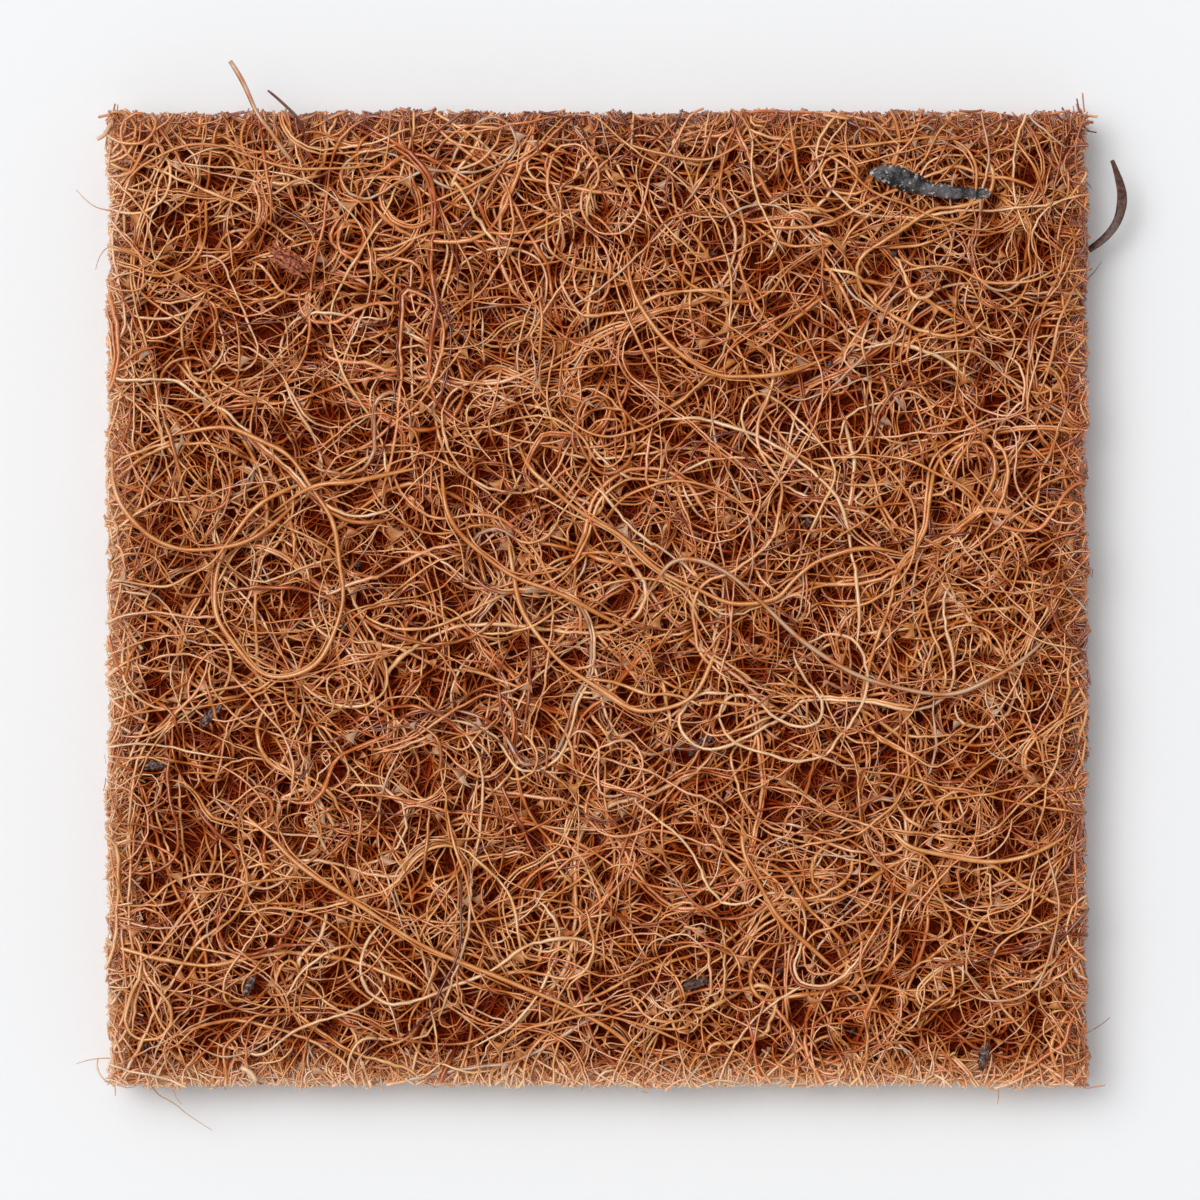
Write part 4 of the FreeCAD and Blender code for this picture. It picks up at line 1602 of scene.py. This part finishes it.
@dataclass
class CutSides:
    """Short fibre ends that stand out of the four cut sides."""

    pad: PadBlock
    per_mm: float = 10.0
    length: tuple = (1.2, 3.6)
    slant: float = 0.85
    tilt: float = 0.45
    widest: float = 1.4
    curl: float = 0.45
    width: float = 0.19
    width_spread: float = 0.3
    proud: float = 0.13
    long_share: float = 0.03
    long_proud: tuple = (0.2, 0.7)
    long_width: float = 0.5
    rim: float = 0.3
    tone: tuple = (0.56, 0.2)
    paleness: float = 0.85
    pale_fade: float = 2.6
    places: int = 5
    seed: int = 31

    def strands(self) -> list[Strand]:
        """Draw the ends around the pad."""
        rng = np.random.default_rng(self.seed)
        found = []
        half = (self.pad.half_x, self.pad.half_y)
        for across, along in ((0, 1), (1, 0)):
            for sign in (-1.0, 1.0):
                for _ in range(int(self.per_mm * 2 * half[along])):
                    found.append(self._stub(rng, half, across, along, sign))
        return found

    def _stub(self, rng: np.random.Generator, half: tuple, across: int, along: int,
              sign: float) -> Strand:
        """Draw one end, a short arc from its cut tip back into the pad."""
        tip = np.zeros(3)
        tip[along] = rng.uniform(-1, 1) * (half[along] - self.rim)
        proud = rng.normal(0, self.proud)
        thin = 1.0
        if rng.uniform() < self.long_share:
            proud = rng.uniform(*self.long_proud)
            thin = self.long_width
        ragged = float(self.pad.ragged(np.array(tip[along]), 1.0 if across == 0 else 2.0))
        tip[across] = sign * (half[across] + proud) + ragged
        tip[2] = rng.uniform(self.rim, self.pad.top + self.rim)
        length = rng.uniform(*self.length)
        share = np.linspace(0, 1, self.places)
        yaw = rng.normal(0, self.slant) + rng.normal(0, self.curl) * length * share
        yaw = np.clip(yaw, -self.widest, self.widest)
        pitch = rng.normal(0, self.tilt) + rng.normal(0, self.curl / 2) * length * share
        ahead = np.zeros((self.places, 3))
        ahead[:, across] = -sign * np.cos(yaw) * np.cos(pitch)
        ahead[:, along] = np.sin(yaw) * np.cos(pitch)
        ahead[:, 2] = np.sin(pitch)
        body = tip + np.cumsum(ahead, axis=0) * length / self.places
        body[:, 2] = soft_limit(body[:, 2], self.rim, self.pad.top + 2 * self.rim)
        width = self.width * math.exp(rng.normal(0, self.width_spread)) * thin
        pale = np.clip(self.paleness - self.pale_fade * share, 0, 1)
        widths = np.full(self.places, width / 2)
        return closed_strand(body, widths, rng.normal(*self.tone), pale=pale)


@dataclass
class Tangle:
    """The loose tangle of fibres, from the top face to the underside."""

    pad: PadBlock
    loom: Loom
    sweeping: FibreStyle = FibreStyle(
        metres=22.0, low=7.7, high=8.7, sink=0.6, step=0.75, width=0.25, curl=0.17,
        curl_run=7.0, restore=0.03, tone=0.6, twin_share=0.25, rise=0.45)
    meshed: FibreStyle = FibreStyle(
        metres=64.0, low=6.4, high=8.4, sink=1.7, width=0.2, tone=0.52, twin_share=0.12,
        curl=0.3, curl_run=4.0, kinks=0.05, step=0.72, length=(10.0, 44.0))
    sunken: FibreStyle = FibreStyle(
        metres=30.0, low=5.3, high=6.8, sink=0.6, width=0.2, tone=0.45, length=(8.0, 36.0))
    banked: FibreStyle = FibreStyle(
        metres=210.0, low=0.6, high=7.6, width=0.19, tone=0.6, side_band=3.4, curl=0.26,
        curl_run=4.0, step=0.95)
    under: FibreStyle = FibreStyle(
        metres=22.0, low=0.5, high=1.4, rise=0.3, width=0.22, tone=0.5, step=1.2)
    lowest: float = 0.35
    seed: int = 11

    def build(self) -> list[Strand]:
        """Lay the fibres of every depth and return those of the top face."""
        curler = Curler(self.pad, self.seed)
        top, lowest = self.pad.top, self.lowest
        depths = ((self.sweeping, top - 1.4, top + 0.9), (self.meshed, top - 2.7, top + 0.7),
                  (self.sunken, 5.3, top), (self.banked, lowest, top), (self.under, lowest, 2.5))
        sweeping, meshed, sunken, banked, under = [curler.strands(*depth) for depth in depths]
        lots = (("sweeping_fibres", sweeping, "face_ply"), ("mesh_fibres", meshed),
                ("sunken_fibres", sunken), ("side_fibres", banked),
                ("cut_ends", CutSides(self.pad).strands()), ("under_fibres", under, "base_ply"))
        for name, strands, *nodes in lots:
            self.loom.lay(name, strands, "coir_batt", nodes)
        return sweeping + meshed


# --- Studio ---

@dataclass
class Studio:
    """Pale floor, soft light from the upper left and a camera straight above."""

    view_width: float = 0.1224
    view_centre: tuple = (0.0003, -0.0001)
    lens: float = 200.0
    sensor: float = 36.0
    subject_height: float = 0.009
    key_energy: float = 19.0
    key_size: float = 1.2
    broad_energy: float = 59.0
    broad_size: float = 2.8
    light_from: tuple = (-1.06, 0.72, 2.94)
    sky: float = 0.4
    sky_colour: tuple = (1.0, 1.0, 1.0, 1.0)
    floor_size: float = 6.0
    clips: tuple = (0.05, 20.0)

    def build(self) -> None:
        """Make the floor, the lights and the camera."""
        self._floor()
        self._lights()
        self._camera()

    def _floor(self) -> None:
        """Lay the floor under the pad."""
        floor = primitive(bpy.ops.mesh.primitive_plane_add, "floor", size=self.floor_size)
        floor.data.materials.append(FloorFinish().make())

    def _lights(self) -> None:
        """Set the key light, the broad light round it and the sky."""
        self._lamp("key", self.key_energy, self.key_size)
        self._lamp("broad", self.broad_energy, self.broad_size)
        world = bpy.data.worlds.new("sky")
        world.use_nodes = True
        background = world.node_tree.nodes["Background"]
        background.inputs["Color"].default_value = self.sky_colour
        background.inputs["Strength"].default_value = self.sky
        bpy.context.scene.world = world

    def _lamp(self, name: str, energy: float, size: float) -> None:
        """Hang one round lamp that faces the pad."""
        lamp = bpy.data.objects.new(name, bpy.data.lights.new(name, "AREA"))
        lamp.data.energy = energy
        lamp.data.shape = "DISK"
        lamp.data.size = size
        lamp.location = self.light_from
        lamp.rotation_mode = "QUATERNION"
        lamp.rotation_quaternion = Vector(self.light_from).to_track_quat("Z", "Y")
        bpy.context.collection.objects.link(lamp)

    def _camera(self) -> None:
        """Hang the camera over the middle of the pad."""
        camera = bpy.data.objects.new("camera", bpy.data.cameras.new("camera"))
        camera.data.lens = self.lens
        camera.data.sensor_width = self.sensor
        distance = self.view_width * self.lens / self.sensor
        camera.location = (*self.view_centre, self.subject_height + distance)
        camera.data.clip_start, camera.data.clip_end = self.clips
        bpy.context.collection.objects.link(camera)
        bpy.context.scene.camera = camera
        bpy.context.scene.view_settings.view_transform = "Standard"


# --- The mat ---

def main() -> None:
    """Build the mat and its studio."""
    logging.basicConfig(level=logging.INFO, format="%(message)s")
    Studio().build()
    pad = main_pad()
    loom = Loom(pad, CoirFinish().make())
    BattCore(pad).build()
    strands = Tangle(pad, loom).build() + FaceFibres(pad, loom).build()
    EdgeHairs(pad, loom).build()
    LatexWebs(pad).build(strands)
    PithSpecks(pad).build()
    BarkSliver(pad).build()
    HuskPieces(pad).build()


if __name__ == "__main__":
    main()
